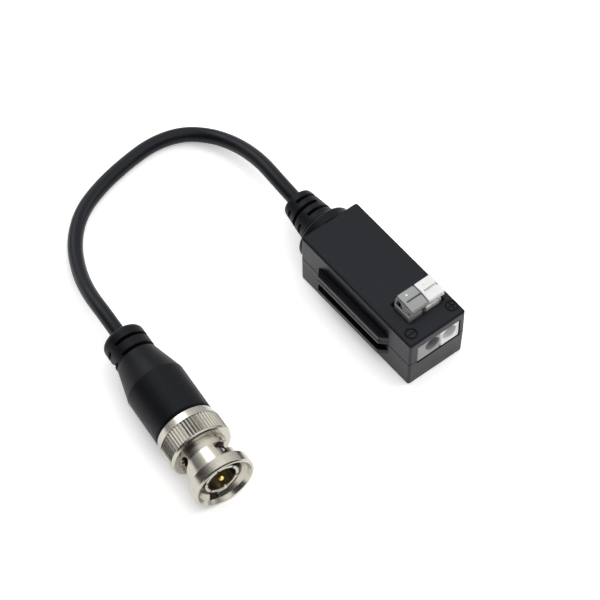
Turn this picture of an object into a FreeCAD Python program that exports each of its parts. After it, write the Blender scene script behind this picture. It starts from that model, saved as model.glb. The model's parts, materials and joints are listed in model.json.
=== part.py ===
"""Video balun for a camera line: coax plug on a short cable, push terminals for a twisted pair.

Millimetres. The origin is the centre of the housing's underside, +X points to the
terminal end, +Z up, and the interlocking rail is on the -Y side.
"""
import FreeCAD
import Part
import math
import os

V = FreeCAD.Vector

# Housing
LENGTH = 38.6
WIDTH = 16.2
HEIGHT = 15.3
WALL = 1.6
TOP = 1.5
FLOOR = 1.5
SEAM_Z = HEIGHT - 7.4
DRAFT = 0.15
CORNER_R = 0.6
TOP_EDGE_R = 0.4
FOOT_CHAMFER = 0.3
SEAM_V = 0.14
LIP = 1.1
LIP_T = 0.6
FIT = 0.1

# Round seats for the polarity signs, in the top beside the levers
SEAT_R = 1.42
SEAT_DEEP = 0.3
SEATS = [
    (LENGTH / 2 - 2.84, -WIDTH / 2 + 2.57),
    (LENGTH / 2 - 3.04, WIDTH / 2 - 1.65),
]

# Interlocking rail on the -Y side
RAIL_X = -0.5
RAIL_LEN = 25.0
RAIL_OUT = 1.7
RAIL_TOP = SEAM_Z + 2.7
RAIL_UNDER = SEAM_Z + 0.2
RAIL_GROOVE_Z = SEAM_Z + 1.3
RAIL_GROOVE = 0.35
RAIL_LOW = SEAM_Z - 3.7
LIP_TOP = SEAM_Z - 2.35
LIP_WALL = 0.4

# Push terminals: two modules side by side
PITCH = 5.0
MODULE_Y = WIDTH / 2 - WALL - 0.4 - 2 * PITCH
MODULE_GAP = 0.05
WINDOW_Y0 = -WIDTH / 2 + WALL + 0.7
NOSE_SIDE = 0.5
NOSE_CHAMFER = 0.25
NOSE_DROP = 0.45
TERM_X0 = LENGTH / 2 - 11.3
TERM_RECESS = 0.15
TERM_TOP = HEIGHT - 2.45
WINDOW_PLAY = 0.12
WIRE_Z = HEIGHT - 4.55
WIRE_R = 2.0
WIRE_DEEP = 2.2
FUNNEL_R = 1.3
CHEEK = 0.9
INNER_CHEEK = 0.5
TOWER_X0 = TERM_X0 + 0.05
TOWER_X1 = TOWER_X0 + 5.7
TOWER_Z = HEIGHT + 2.55
LEDGE_Z = HEIGHT + 1.1
LEDGE_W = 0.25
WALL_SPAN = 3.65
FRONT_WALL = 0.5
SHELL_PLAY = 0.15
PORT_DEEP = 2.0
PORT_Z0 = LEDGE_Z + 0.1
PORT_Z1 = TOWER_Z - 0.35
REAR_CUT = 0.5
PIN_HOLE_R = 0.35

# Levers
LEVER_GAP = 0.08
LEVER_X0 = TERM_X0 - 0.05
LEVER_X1 = TOWER_X1 - FRONT_WALL - 0.1
LEVER_NOSE = 0.42
LEVER_W = 4.6
LEVER_Z = HEIGHT + 3.1
LEVER_UNDER = HEIGHT + 0.3
OVERHANG_Z = HEIGHT + 0.9
PIVOT_X = TOWER_X1 - 1.36
PIVOT_Z = HEIGHT - 0.9
PIVOT_R = 0.5
PIVOT_PLAY = 0.05
BARREL_R = 0.78
LEVER_PRESS = 10.0
GROOVE_W = 0.5
GROOVE_D = 0.7
LEVER_CORNER = 0.4
NOTCH_W = 0.8
NOTCH_D = 0.5

# Spring clamp inside each module
STRIP = 0.3
STRIP_W = 2.6
BAR_T = 0.5
BAR_Z = SEAM_Z + 0.4
TAIL_R = 0.4

# Strain relief and cable
NECK_R = 3.2
INNER_FLANGE_R = 4.4
INNER_FLANGE = 1.2
BOSS_R = 7.3
BOSS = 2.6
BOSS_EDGE = 0.7
COLLAR_R = 5.2
COLLAR_END = 3.85
RELIEF_R0 = 4.95
RELIEF_R1 = 3.9
RELIEF_EDGE = 0.7
SLOT_W = 0.9
SLOT_DEEP = 1.5
RELIEF_SLOTS = (5.7, 8.05, 10.4)
CABLE_D = 3.6
CABLE_R = CABLE_D / 2

# Circuit board
PCB_T = 1.0
PCB_TOP = 5.4
PCB_PLAY = 0.4
LEDGE = 0.6

# The circuit board fills the housing behind the front wall
PCB_X0 = -LENGTH / 2 + WALL + INNER_FLANGE + PCB_PLAY
PCB_X1 = LENGTH / 2 - WALL - PCB_PLAY
PCB_Y0 = -WIDTH / 2 + WALL + PCB_PLAY
PCB_Y1 = WIDTH / 2 - WALL - PCB_PLAY
COAX_END_X = PCB_X0 + 0.9
CHOKE_Y = -0.4
CHOKE_R = 4.1
CHOKE_BORE = 2.0
CHOKE_BASE = 0.8
CHOKE_H = 3.6
CHOKE_BASE_LEN = 9.4
CHOKE_BASE_WIDTH = 9.6
WINDING_T = 0.45
WINDING_TURNS = 9
TURN_ANGLE = 15
TURN_W = 0.84
ARRESTER_X = COAX_END_X + 4.2
ARRESTER_Y = -0.2
ARRESTER_R = 2.3
ARRESTER_WAIST = 0.2
ARRESTER_LEN = 6.0
ARRESTER_CAP = 1.0
DIODE_X = TERM_X0 - 1.6
DIODE_Y = -2.3
DIODE_LEN = 3.6
DIODE_WIDTH = 2.2
DIODE_H = 2.1
DIODE_LEAD = 0.3
CHIP_LEN = 2.0
CHIP_WIDTH = 1.25
RESISTOR_H = 0.55
CAPACITOR_H = 0.9
CHOKE_X = DIODE_X - DIODE_WIDTH / 2 - 0.3 - CHOKE_BASE_LEN / 2
RESISTOR_X = CHOKE_X - CHOKE_BASE_LEN / 2 - 0.8
RESISTORS = [(ARRESTER_X, PCB_Y0 + 1.4), (RESISTOR_X, PCB_Y0 + 1.4), (RESISTOR_X, PCB_Y1 - 1.7)]
CAPACITORS = [(COAX_END_X + 0.7, PCB_Y1 - 1.9), (DIODE_X, PCB_Y1 - 4.2), (DIODE_X, PCB_Y1 - 1.6)]
CORE_END_R = 0.85
WIRE_END_R = 0.3
BRAID_END_R = 0.38

# Plug, measured along its axis from the back of the boot
BOOT_COLLAR_R = 5.15
BOOT_COLLAR = 7.2
BOOT_TAPER = 15.3
BOOT_R = 7.28
BOOT_END = 28.05
BOOT_EDGE = 1.4
BOOT_SLOTS = (3.5, 6.65)
FERRULE_R = 3.3
FERRULE_BORE = 2.7
FERRULE_0 = 10.1
FERRULE_1 = 21.1
BODY_REAR = 22.1
BODY_REAR_R = 5.4
BODY_NECK = 27.4
BODY_FRONT = 35.3
CORE_R = 1.15
RING_R = 7.68
RING_REAR = 28.2
RING_REAR_R = 7.0
KNURL_0 = 30.5
KNURL_1 = 34.95
KNURL_END = 35.75
KNURL_TEETH = 60
KNURL_DEEP = 0.24
BARREL_OUT_R = 5.85
BARREL_FLARE = 38.1
BARREL_FLARE_R = 6.4
BARREL_BORE_R = 4.95
RIM_R = 7.6
RIM_0 = 42.65
RIM_1 = 45.45
MOUTH_R = 6.9
RIM_BORE_R = 6.3
RING_BORE_R = 5.5
RING_BORE_END = 35.1
NECK_BODY_R = 4.62
RING_LIP_PLAY = 0.08
RING_LIP_0 = 29.9
RING_LIP_1 = 31.5
THRUST_T = 0.5
WAVE_H = 1.1
WAVE_T = 0.25
CLIP_T = 0.6
CLIP_DEEP = 0.45
STACK_GAP = 0.02
WASHER_R = 5.35
SLEEVE_R = 4.3
SLEEVE_BORE_R = 3.6
SLEEVE_END = 44.05
SLIT_W = 0.4
SLIT_TURNS = (15, 75, 135)
SLIT_START = 38.0
GASKET_0 = 35.4
GASKET_1 = 38.3
GASKET_R = 4.62
INSULATOR_END = 39.1
PIN_R = 0.675
PIN_END = 44.25
SLOT_ENTRY = 68.0
SLOT_SWEEP = 90.0
BAYONET_W = 2.4
BAYONET_LAND = 39.3
BAYONET_DETENT = 37.2

# Route of the cable's centre line from the strain relief to the plug, x from the rear wall
REAR_X = -LENGTH / 2
ROUTE = [
    V(REAR_X - 12.70, 1.03, 8.00),
    V(REAR_X - 20.00, 1.38, 8.00),
    V(REAR_X - 27.85, 2.33, 6.90),
    V(REAR_X - 35.76, 2.22, 4.60),
    V(REAR_X - 43.10, 0.31, 2.40),
    V(REAR_X - 48.45, -4.69, 1.85),
    V(REAR_X - 50.47, -12.12, 1.85),
    V(REAR_X - 49.75, -20.60, 1.85),
    V(REAR_X - 48.05, -29.36, 1.85),
    V(REAR_X - 44.90, -37.54, 1.85),
    V(REAR_X - 39.10, -43.94, 1.90),
    V(REAR_X - 31.45, -48.39, 3.00),
    V(REAR_X - 23.37, -51.46, 5.70),
    V(REAR_X - 15.21, -52.92, 7.70),
    V(REAR_X - 7.97, -53.86, 7.70),
]

# The strain relief and the plug lie in line with the route's two end runs
PLUG_AT = ROUTE[-1]
PLUG_YAW = math.degrees(math.atan2(ROUTE[-1].y - ROUTE[-2].y, ROUTE[-1].x - ROUTE[-2].x))
EXIT_SLOPE = (ROUTE[0].y - ROUTE[1].y) / (ROUTE[0].x - ROUTE[1].x)
EXIT_Y = ROUTE[0].y + EXIT_SLOPE * (REAR_X - ROUTE[0].x)
EXIT_Z = ROUTE[0].z


def block(x0, x1, y0, y1, z0, z1):
    """Box between two corners."""
    return Part.makeBox(x1 - x0, y1 - y0, z1 - z0, V(x0, y0, z0))


def rod(radius, start, end):
    """Cylinder from one point to another."""
    axis = end - start
    return Part.makeCylinder(radius, axis.Length, start, axis)


def polygon(points):
    """Closed wire through points."""
    return Part.makePolygon(list(points) + [points[0]])


def prism(points, direction):
    """Solid of a flat outline pushed along a direction."""
    return Part.Face(polygon(points)).extrude(direction)


def rounded_wire(half_x, half_y, radius, z, x=0.0, y=0.0):
    """Rectangle with round corners, at height z."""
    k = radius * (1 - math.sqrt(0.5))
    edges = []
    corners = [(1, 1), (-1, 1), (-1, -1), (1, -1)]
    ends = []
    for sx, sy in corners:
        cx = x + sx * half_x
        cy = y + sy * half_y
        on_x = V(cx - sx * radius, cy, z)
        on_y = V(cx, cy - sy * radius, z)
        middle = V(cx - sx * k, cy - sy * k, z)
        first, last = (on_y, on_x) if sx * sy > 0 else (on_x, on_y)
        edges.append(Part.Arc(first, middle, last).toShape())
        ends.append((first, last))
    joined = []
    for i, arc in enumerate(edges):
        joined.append(arc)
        joined.append(Part.LineSegment(ends[i][1], ends[(i + 1) % 4][0]).toShape())
    return Part.Wire(joined)


def rounded_block(half_x, half_y, radius, z0, z1, x=0.0, y=0.0):
    """Box with round upright corners."""
    face = Part.Face(rounded_wire(half_x, half_y, radius, z0, x, y))
    return face.extrude(V(0, 0, z1 - z0))


def turned(profile):
    """Solid turned about the X axis from (distance, radius) points."""
    points = [V(s, r, 0) for s, r in profile]
    return Part.Face(polygon(points)).revolve(V(0, 0, 0), V(1, 0, 0), 360)


def turned_wire(edges):
    """Solid turned about the X axis from a closed set of edges."""
    return Part.Face(Part.Wire(Part.__sortEdges__(edges))).revolve(V(0, 0, 0), V(1, 0, 0), 360)


def tube(outer, inner, s0, s1):
    """Ring or tube along the X axis."""
    return turned([(s0, inner), (s1, inner), (s1, outer), (s0, outer)])


def sector(r0, r1, s0, s1, start, end):
    """Part of a ring about the X axis, between two angles from +Y towards +Z."""
    points = [V(s0, r0, 0), V(s1, r0, 0), V(s1, r1, 0), V(s0, r1, 0)]
    face = Part.Face(polygon(points))
    face.rotate(V(0, 0, 0), V(1, 0, 0), start)
    return face.revolve(V(0, 0, 0), V(1, 0, 0), end - start)


def edges_near(shape, test):
    """Edges whose middle passes a test."""
    found = []
    for edge in shape.Edges:
        middle = edge.valueAt((edge.FirstParameter + edge.LastParameter) / 2)
        if test(edge, middle):
            found.append(edge)
    return found


def strip(path, thickness, width, y0):
    """Sheet-metal strip that follows a path of (x, z) points, bent at each one."""
    left = []
    right = []
    for i, (x, z) in enumerate(path):
        before = path[max(i - 1, 0)]
        after = path[min(i + 1, len(path) - 1)]
        d1 = unit(x - before[0], z - before[1]) if i else None
        d2 = unit(after[0] - x, after[1] - z) if i < len(path) - 1 else None
        d1 = d1 or d2
        d2 = d2 or d1
        nx = -(d1[1] + d2[1])
        nz = d1[0] + d2[0]
        size = math.hypot(nx, nz)
        nx, nz = nx / size, nz / size
        stretch = (thickness / 2) / (nx * -d1[1] + nz * d1[0])
        left.append(V(x + nx * stretch, y0, z + nz * stretch))
        right.append(V(x - nx * stretch, y0, z - nz * stretch))
    return prism(left + right[::-1], V(0, width, 0))


def unit(x, z):
    """Direction of length one."""
    size = math.hypot(x, z)
    return (x / size, z / size)


# Housing shells

def rail_plan(play, out):
    """Plan outline of the rail, bevelled at both ends."""
    half = RAIL_LEN / 2 + play
    return [
        (RAIL_X - half, 0.0),
        (RAIL_X - half + out, out),
        (RAIL_X + half - out, out),
        (RAIL_X + half, 0.0),
    ]


def rail_prism(side, start, play, out, z0, z1):
    """Prism on the rail's plan, outwards from y = start on one side."""
    points = [V(x, start + side * d, z0) for x, d in rail_plan(play, out)]
    return prism(points, V(0, 0, z1 - z0))


def exit_cut():
    """Round hole in the rear wall for the strain relief's neck."""
    return rod(NECK_R + FIT, V(-LENGTH, EXIT_Y, EXIT_Z), V(-LENGTH / 2 + 3 * WALL, EXIT_Y, EXIT_Z))


def make_upper_shell():
    half_l = LENGTH / 2
    half_w = WIDTH / 2
    shell = rounded_block(half_l, half_w, CORNER_R, SEAM_Z, HEIGHT)
    rim = edges_near(shell, lambda e, m: abs(m.z - HEIGHT) < 1e-6)
    shell = shell.makeFillet(TOP_EDGE_R, rim)
    edge = Part.makeLoft([
        rounded_wire(half_l - SEAM_V, half_w - SEAM_V, CORNER_R, SEAM_Z),
        rounded_wire(half_l, half_w, CORNER_R, SEAM_Z + SEAM_V),
    ], True, True)
    shell = shell.cut(block(-LENGTH, LENGTH, -WIDTH, WIDTH, SEAM_Z, SEAM_Z + SEAM_V).cut(edge))
    hollow = rounded_block(half_l - WALL, half_w - WALL, CORNER_R / 2, SEAM_Z - 1, HEIGHT - TOP)
    shell = shell.cut(hollow)
    shell = shell.fuse(rail_prism(-1, -half_w + FIT, 0, RAIL_OUT + FIT, RAIL_UNDER, RAIL_TOP))
    shell = shell.cut(rail_groove())
    lip = rounded_block(half_l - WALL + LIP_T, half_w - WALL + LIP_T, CORNER_R, SEAM_Z - LIP, SEAM_Z + LIP)
    core = rounded_block(half_l - WALL, half_w - WALL, CORNER_R / 2, SEAM_Z - 2 * LIP, SEAM_Z + 2 * LIP)
    shell = shell.fuse(lip.cut(core))
    shell = shell.cut(terminal_window()).cut(lever_opening()).cut(exit_cut())
    for x, y in SEATS:
        shell = shell.cut(rod(SEAT_R, V(x, y, HEIGHT - SEAT_DEEP), V(x, y, HEIGHT + 1)))
    return shell.removeSplitter()


def rail_groove():
    """Fine V line along the face of the rail."""
    half_w = WIDTH / 2
    inner = rail_prism(-1, -half_w, -RAIL_GROOVE * 0.41, RAIL_OUT - RAIL_GROOVE, 0, HEIGHT)
    outer = rail_prism(-1, -half_w, 1.0, RAIL_OUT + 1.0, 0, HEIGHT)
    band = block(-LENGTH, LENGTH, -WIDTH, -half_w,
                 RAIL_GROOVE_Z - RAIL_GROOVE / 2, RAIL_GROOVE_Z + RAIL_GROOVE / 2)
    return outer.cut(inner).common(band)


def module_y(index):
    """Left edge of a terminal module."""
    return MODULE_Y + index * PITCH


def window_span():
    """Both sides of the window that shows the terminals."""
    return WINDOW_Y0, module_y(2) + NOSE_SIDE


def terminal_window():
    y0, y1 = window_span()
    return block(LENGTH / 2 - 3 * WALL, LENGTH, y0 - WINDOW_PLAY, y1 + WINDOW_PLAY,
                 SEAM_Z - 2 * LIP, TERM_TOP + WINDOW_PLAY)


def lever_opening():
    return block(LEVER_X0 - 3 * SHELL_PLAY, TOWER_X1 + SHELL_PLAY, module_y(0) - SHELL_PLAY,
                 module_y(2) + SHELL_PLAY, HEIGHT - 2 * TOP, HEIGHT + TOP)


def make_lower_shell():
    half_l = LENGTH / 2
    half_w = WIDTH / 2
    inset = DRAFT + FOOT_CHAMFER
    foot = rounded_wire(half_l - inset, half_w - inset, CORNER_R, 0)
    bottom = rounded_wire(half_l - DRAFT, half_w - DRAFT, CORNER_R, FOOT_CHAMFER)
    top = rounded_wire(half_l, half_w, CORNER_R, SEAM_Z - SEAM_V)
    seam = rounded_wire(half_l - SEAM_V, half_w - SEAM_V, CORNER_R, SEAM_Z)
    shell = Part.makeLoft([foot, bottom, top, seam], True, True)
    hollow = rounded_block(half_l - WALL, half_w - WALL, CORNER_R / 2, FLOOR, SEAM_Z + 1)
    shell = shell.cut(hollow).fuse(board_rests())
    rail = rail_prism(-1, -half_w + DRAFT + FIT, 0, RAIL_OUT + DRAFT + FIT, RAIL_LOW, LIP_TOP)
    shell = shell.fuse(rail).cut(rail_hollow())
    step = rounded_block(half_l - WALL + LIP_T + FIT, half_w - WALL + LIP_T + FIT, CORNER_R,
                         SEAM_Z - LIP - FIT, SEAM_Z + LIP)
    y0, y1 = window_span()
    seat = block(LENGTH / 2 - 3 * WALL, LENGTH, y0 - WINDOW_PLAY, y1 + WINDOW_PLAY,
                 SEAM_Z - NOSE_DROP - LIP_WALL, SEAM_Z + LIP)
    shell = shell.cut(step).cut(seat).cut(exit_cut())
    return shell.removeSplitter()


def rail_hollow():
    """Hollow behind the thin lower edge of the rail."""
    half_w = WIDTH / 2
    plan = rail_prism(-1, -half_w, -LIP_WALL, RAIL_OUT - LIP_WALL, RAIL_LOW + LIP_WALL, LIP_TOP + 1)
    return plan


def board_rests():
    """Ledges along both sides and posts at the ends that carry the circuit board."""
    under = PCB_TOP - PCB_T
    side = block(PCB_X0, PCB_X1, -WIDTH / 2 + WALL / 2, PCB_Y0 + LEDGE, FLOOR / 2, under)
    other = block(PCB_X0, PCB_X1, PCB_Y1 - LEDGE, WIDTH / 2 - WALL / 2, FLOOR / 2, under)
    middle = block(-1, 1, PCB_Y0, PCB_Y1, FLOOR / 2, under)
    return side.fuse(other).fuse(middle)


def make_circuit_board():
    board = block(PCB_X0, PCB_X1, PCB_Y0, PCB_Y1, PCB_TOP - PCB_T, PCB_TOP)
    corners = edges_near(board, lambda e, m: abs(m.z - (PCB_TOP - PCB_T / 2)) < 1e-6)
    board = board.makeChamfer(PCB_T / 2, corners)
    for index in range(2):
        at = V(contact_tail_x(), contact_y(index) + STRIP_W / 2, 0)
        board = board.cut(rod(TAIL_R + FIT / 2, at, at + V(0, 0, PCB_TOP + PCB_T)))
    return board


# Push terminals

def module_span(index):
    """Both sides of a terminal module, less half the gap between the two."""
    return module_y(index) + MODULE_GAP / 2, module_y(index + 1) - MODULE_GAP / 2


def module_hole_y(index):
    """Centre of a module's wire hole."""
    return module_y(index) + PITCH / 2


def lever_span(index):
    """Both sides of a lever's head."""
    y0 = module_span(index)[0] + CHEEK + LEVER_GAP
    return y0, y0 + LEVER_W


def contact_y(index):
    """Left edge of a module's metal strip."""
    return module_hole_y(index) - STRIP_W / 2


def contact_tail_x():
    """Place of the solder tail."""
    return TERM_X0 + 1.6


def outer_cheek(y0):
    """Tall cheek beside the first lever, with a sloped outer face above a ledge."""
    low = TERM_TOP - 1
    cheek = prism([
        V(TOWER_X0, y0, low),
        V(TOWER_X0, y0, LEDGE_Z),
        V(TOWER_X0, y0 + LEDGE_W, LEDGE_Z),
        V(TOWER_X0, y0 + CHEEK, TOWER_Z),
        V(TOWER_X0, y0 + CHEEK, low),
    ], V(TOWER_X1 - TOWER_X0, 0, 0))
    reach = 1.0
    corner = prism([
        V(TOWER_X0 - reach, y0 - reach, low),
        V(TOWER_X0 - reach, y0 + reach + REAR_CUT, low),
        V(TOWER_X0 + reach + REAR_CUT, y0 - reach, low),
    ], V(0, 0, TOWER_Z))
    return cheek.cut(corner)


def make_terminal_body(index):
    y0, y1 = module_span(index)
    left = window_span()[0] + WINDOW_PLAY / 2 if index == 0 else y0
    right = y1 if index == 0 else window_span()[1]
    front = LENGTH / 2 - TERM_RECESS
    body = block(TERM_X0, LENGTH / 2 - WALL - PCB_PLAY, left, y1, PCB_TOP, TERM_TOP)
    nose = block(LENGTH / 2 - 2 * WALL, front, left, right, SEAM_Z - NOSE_DROP, TERM_TOP)
    upright = edges_near(nose, lambda e, m: abs(m.x - front) < 1e-6 and abs(e.Length - nose.BoundBox.ZLength) < 1e-6)
    body = body.fuse(nose.makeChamfer(NOSE_CHAMFER, upright))
    body = body.fuse(outer_cheek(y0) if index == 0 else low_cheek(y0, CHEEK, TOWER_X1))
    body = body.fuse(low_cheek(y1 - INNER_CHEEK, INNER_CHEEK, PIVOT_X + BARREL_R))
    hole_y = module_hole_y(index)
    hole_at = V(front, hole_y, WIRE_Z)
    body = body.cut(rod(WIRE_R, hole_at - V(WIRE_DEEP, 0, 0), hole_at + V(1, 0, 0)))
    funnel = Part.makeCone(FUNNEL_R, WIRE_R, 1.0, hole_at - V(WIRE_DEEP + 1.0, 0, 0), V(1, 0, 0))
    body = body.cut(funnel)
    chamber = block(TERM_X0 + 0.9, front - WIRE_DEEP - 0.9, y0 + CHEEK, y1 - INNER_CHEEK,
                    BAR_Z - BAR_T - 0.3, TERM_TOP + 3)
    body = body.cut(chamber)
    body = body.fuse(block(TOWER_X1 - FRONT_WALL, TOWER_X1, y0, y0 + WALL_SPAN, PIVOT_Z - BARREL_R, LEDGE_Z))
    body = body.cut(rod(PIVOT_R + PIVOT_PLAY, V(PIVOT_X, y0 + 0.2, PIVOT_Z), V(PIVOT_X, y1 - 0.1, PIVOT_Z)))
    if index == 0:
        at = V(TOWER_X1 - 0.75, y0, TOWER_Z - 0.95)
        body = body.cut(side_port(y0)).cut(rod(PIN_HOLE_R, at, at + V(0, CHEEK + 1, 0)))
    tail = V(contact_tail_x(), hole_y, 0)
    body = body.cut(rod(TAIL_R + FIT / 2, tail, tail + V(0, 0, BAR_Z)))
    return body.removeSplitter()


def low_cheek(y, thickness, front):
    """Low cheek under a lever, sloped so that the pressed lever clears it."""
    top = LEVER_UNDER - 4 * FIT
    drop = (PIVOT_X - TOWER_X0) * math.tan(math.radians(LEVER_PRESS))
    return prism([
        V(TOWER_X0, y, TERM_TOP - 1),
        V(front, y, TERM_TOP - 1),
        V(front, y, top),
        V(PIVOT_X, y, top),
        V(TOWER_X0, y, top - drop),
    ], V(0, thickness, 0))


def side_port(y0):
    """Arched port through the tall cheek into the lever's side, with a well behind its sill."""
    x0 = TOWER_X0 + 0.6
    x1 = x0 + 2.3
    depth = CHEEK + LEVER_GAP + PORT_DEEP
    arch = prism([
        V(x0, y0, PORT_Z0),
        V(x1, y0, PORT_Z0),
        V(x1 - 0.35, y0, PORT_Z0 + 0.4),
        V(x1 - 1.35, y0, PORT_Z1),
        V(x0, y0, PORT_Z1),
    ], V(0, depth, 0))
    return arch.fuse(block(x0, x1, y0 + LEDGE_W + FIT, y0 + depth, PORT_Z0 - 1.1, PORT_Z0))


def make_lever(index):
    y0, y1 = lever_span(index)
    crease = LEVER_X0 + 2.95
    nose = LEVER_X1 + LEVER_NOSE
    head = prism([
        V(LEVER_X0, y0, LEVER_UNDER),
        V(LEVER_X1, y0, LEVER_UNDER),
        V(LEVER_X1, y0, LEVER_UNDER + 0.95),
        V(nose, y0, LEVER_UNDER + 1.15),
        V(nose, y0, LEVER_Z - 0.95),
        V(nose - 0.25, y0, LEVER_Z - 0.5),
        V(crease, y0, LEVER_Z),
        V(LEVER_X0 + 0.3, y0, LEVER_Z - 0.05),
        V(LEVER_X0, y0, LEVER_Z - 0.35),
    ], V(0, y1 - y0, 0))
    plan = rounded_block((nose - LEVER_X0) / 2, LEVER_W / 2, LEVER_CORNER, LEVER_UNDER - 1, LEVER_Z + 1,
                         (nose + LEVER_X0) / 2, (y0 + y1) / 2)
    head = head.common(plan)
    head = head.cut(block(crease - GROOVE_W / 2, crease + GROOVE_W / 2, y0 + 0.6, y1 + 1,
                          LEVER_Z - GROOVE_D, LEVER_Z + 1))
    low1 = module_span(index)[1] - INNER_CHEEK - LEVER_GAP
    head = head.cut(block(LEVER_X0 - 1, nose + 1, low1, y1 + 1, LEVER_UNDER - 1, OVERHANG_Z))
    leg = block(PIVOT_X - BARREL_R, PIVOT_X + BARREL_R, y0, low1, PIVOT_Z, LEVER_UNDER + 0.2)
    barrel = rod(BARREL_R, V(PIVOT_X, y0, PIVOT_Z), V(PIVOT_X, low1, PIVOT_Z))
    axle = rod(PIVOT_R, V(PIVOT_X, y0 - CHEEK * 0.6, PIVOT_Z),
               V(PIVOT_X, low1 + LEVER_GAP + INNER_CHEEK * 0.7, PIVOT_Z))
    foot = prism([
        V(LEVER_X0 + 1.4, y0 + 0.2, LEVER_UNDER + 0.2),
        V(LEVER_X0 + 2.8, y0 + 0.2, LEVER_UNDER + 0.2),
        V(LEVER_X0 + 2.5, y0 + 0.2, foot_z()),
        V(LEVER_X0 + 1.8, y0 + 0.2, foot_z()),
    ], V(0, low1 - y0 - 0.4, 0))
    lever = head.fuse(leg).fuse(barrel).fuse(axle).fuse(foot)
    if index == 0:
        lever = lever.cut(side_port(module_span(index)[0]))
    else:
        lever = lever.cut(block(crease - NOTCH_W / 2, crease + NOTCH_W / 2, y1 - NOTCH_D, y1 + 1,
                                OVERHANG_Z - 1, LEVER_Z + 1))
    return lever.removeSplitter()


def foot_z():
    """Lowest point of the lever's foot, just over the clamp spring."""
    return TERM_TOP - 0.1


def make_clamp_spring(index):
    top = foot_z() - STRIP / 2 - FIT / 2
    path = [
        (TERM_X0 + 4.0, BAR_Z + STRIP / 2 + 0.05),
        (TERM_X0 + 1.2, BAR_Z + STRIP / 2 + 0.05),
        (TERM_X0 + 1.2, top - 1.2),
        (TERM_X0 + 2.0, top),
        (TERM_X0 + 4.6, top - 0.1),
        (TERM_X0 + 5.6, top - 1.2),
        (TERM_X0 + 6.6, BAR_Z + 1.0),
    ]
    return strip(path, STRIP, STRIP_W, contact_y(index))


def make_contact_bar(index):
    y0 = contact_y(index)
    bar = block(TERM_X0 + 0.95, LENGTH / 2 - TERM_RECESS - WIRE_DEEP - 1.2, y0, y0 + STRIP_W,
                BAR_Z - BAR_T, BAR_Z)
    at = V(contact_tail_x(), y0 + STRIP_W / 2, PCB_TOP - PCB_T - 0.9)
    tail = rod(TAIL_R, at, V(at.x, at.y, BAR_Z - BAR_T / 2))
    return bar.fuse(tail).removeSplitter()


# Parts on the circuit board

def make_choke_base():
    half_x = CHOKE_BASE_LEN / 2
    half_y = CHOKE_BASE_WIDTH / 2
    base = block(CHOKE_X - half_x, CHOKE_X + half_x, CHOKE_Y - half_y, CHOKE_Y + half_y,
                 PCB_TOP, PCB_TOP + CHOKE_BASE)
    corners = edges_near(base, lambda e, m: abs(m.z - PCB_TOP - CHOKE_BASE / 2) < 1e-6)
    return base.makeFillet(1.0, corners)


def ring_z(offset, low, high):
    """Flat ring about the choke's upright axis."""
    centre = V(CHOKE_X, CHOKE_Y, low)
    outer = Part.makeCylinder(CHOKE_R + offset, high - low, centre)
    return outer.cut(Part.makeCylinder(CHOKE_BORE - offset, high - low, centre))


def core_z():
    """Underside of the ferrite ring."""
    return PCB_TOP + CHOKE_BASE + WINDING_T


def make_choke_core():
    return ring_z(0, core_z(), core_z() + CHOKE_H)


def make_choke_winding(side):
    """One half of the winding, as ridged turns round the ferrite ring."""
    low = core_z() - WINDING_T
    high = core_z() + CHOKE_H + WINDING_T
    sleeve = ring_z(WINDING_T, low, high).cut(ring_z(0, core_z(), core_z() + CHOKE_H))
    turns = None
    for i in range(WINDING_TURNS):
        angle = math.radians(side * 90 + (i - (WINDING_TURNS - 1) / 2) * TURN_ANGLE)
        middle = (CHOKE_R + CHOKE_BORE) / 2
        at = V(CHOKE_X + middle * math.cos(angle), CHOKE_Y + middle * math.sin(angle), low)
        wedge = block(-CHOKE_R, CHOKE_R, -TURN_W / 2, TURN_W / 2, 0, high - low)
        wedge.rotate(V(0, 0, 0), V(0, 0, 1), math.degrees(angle))
        wedge.translate(at)
        turns = wedge if turns is None else turns.fuse(wedge)
    return sleeve.common(turns).fuse(binder(low, high)).common(choke_half(side, high)).removeSplitter()


def choke_half(side, high):
    """Block that holds one side of the choke."""
    half = block(-2 * CHOKE_R, 2 * CHOKE_R, WINDING_T, 2 * CHOKE_R, 0, 2 * high)
    half.rotate(V(0, 0, 0), V(0, 0, 1), 0 if side > 0 else 180)
    half.translate(V(CHOKE_X, CHOKE_Y, 0))
    return half


def binder(low, high):
    """Varnish film that holds the turns together."""
    film = ring_z(WINDING_T / 2, low + WINDING_T / 2, high - WINDING_T / 2)
    return film.cut(ring_z(0, core_z(), core_z() + CHOKE_H))


def make_surge_arrester():
    """Small gas-filled arrester with a metal cap at each end."""
    centre_z = PCB_TOP + ARRESTER_R
    y = ARRESTER_Y - ARRESTER_LEN / 2
    body = rod(ARRESTER_R - ARRESTER_WAIST, V(ARRESTER_X, y, centre_z), V(ARRESTER_X, y + ARRESTER_LEN, centre_z))
    for start in (y, y + ARRESTER_LEN - ARRESTER_CAP):
        end = start + ARRESTER_CAP
        body = body.fuse(rod(ARRESTER_R, V(ARRESTER_X, start, centre_z), V(ARRESTER_X, end, centre_z)))
    return body.removeSplitter()


def make_surge_diode():
    """Flat moulded diode with a folded lead at each end."""
    half_x = DIODE_WIDTH / 2
    half_y = DIODE_LEN / 2
    top = PCB_TOP + DIODE_H
    body = block(DIODE_X - half_x, DIODE_X + half_x, DIODE_Y - half_y, DIODE_Y + half_y,
                 PCB_TOP + DIODE_LEAD / 2, top)
    body = body.makeChamfer(0.25, edges_near(body, lambda e, m: abs(m.z - top) < 1e-6))
    for y in (DIODE_Y - half_y, DIODE_Y + half_y):
        body = body.fuse(block(DIODE_X - 0.7, DIODE_X + 0.7, y - 0.5, y + 0.5, PCB_TOP, PCB_TOP + DIODE_LEAD))
    return body.removeSplitter()


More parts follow.
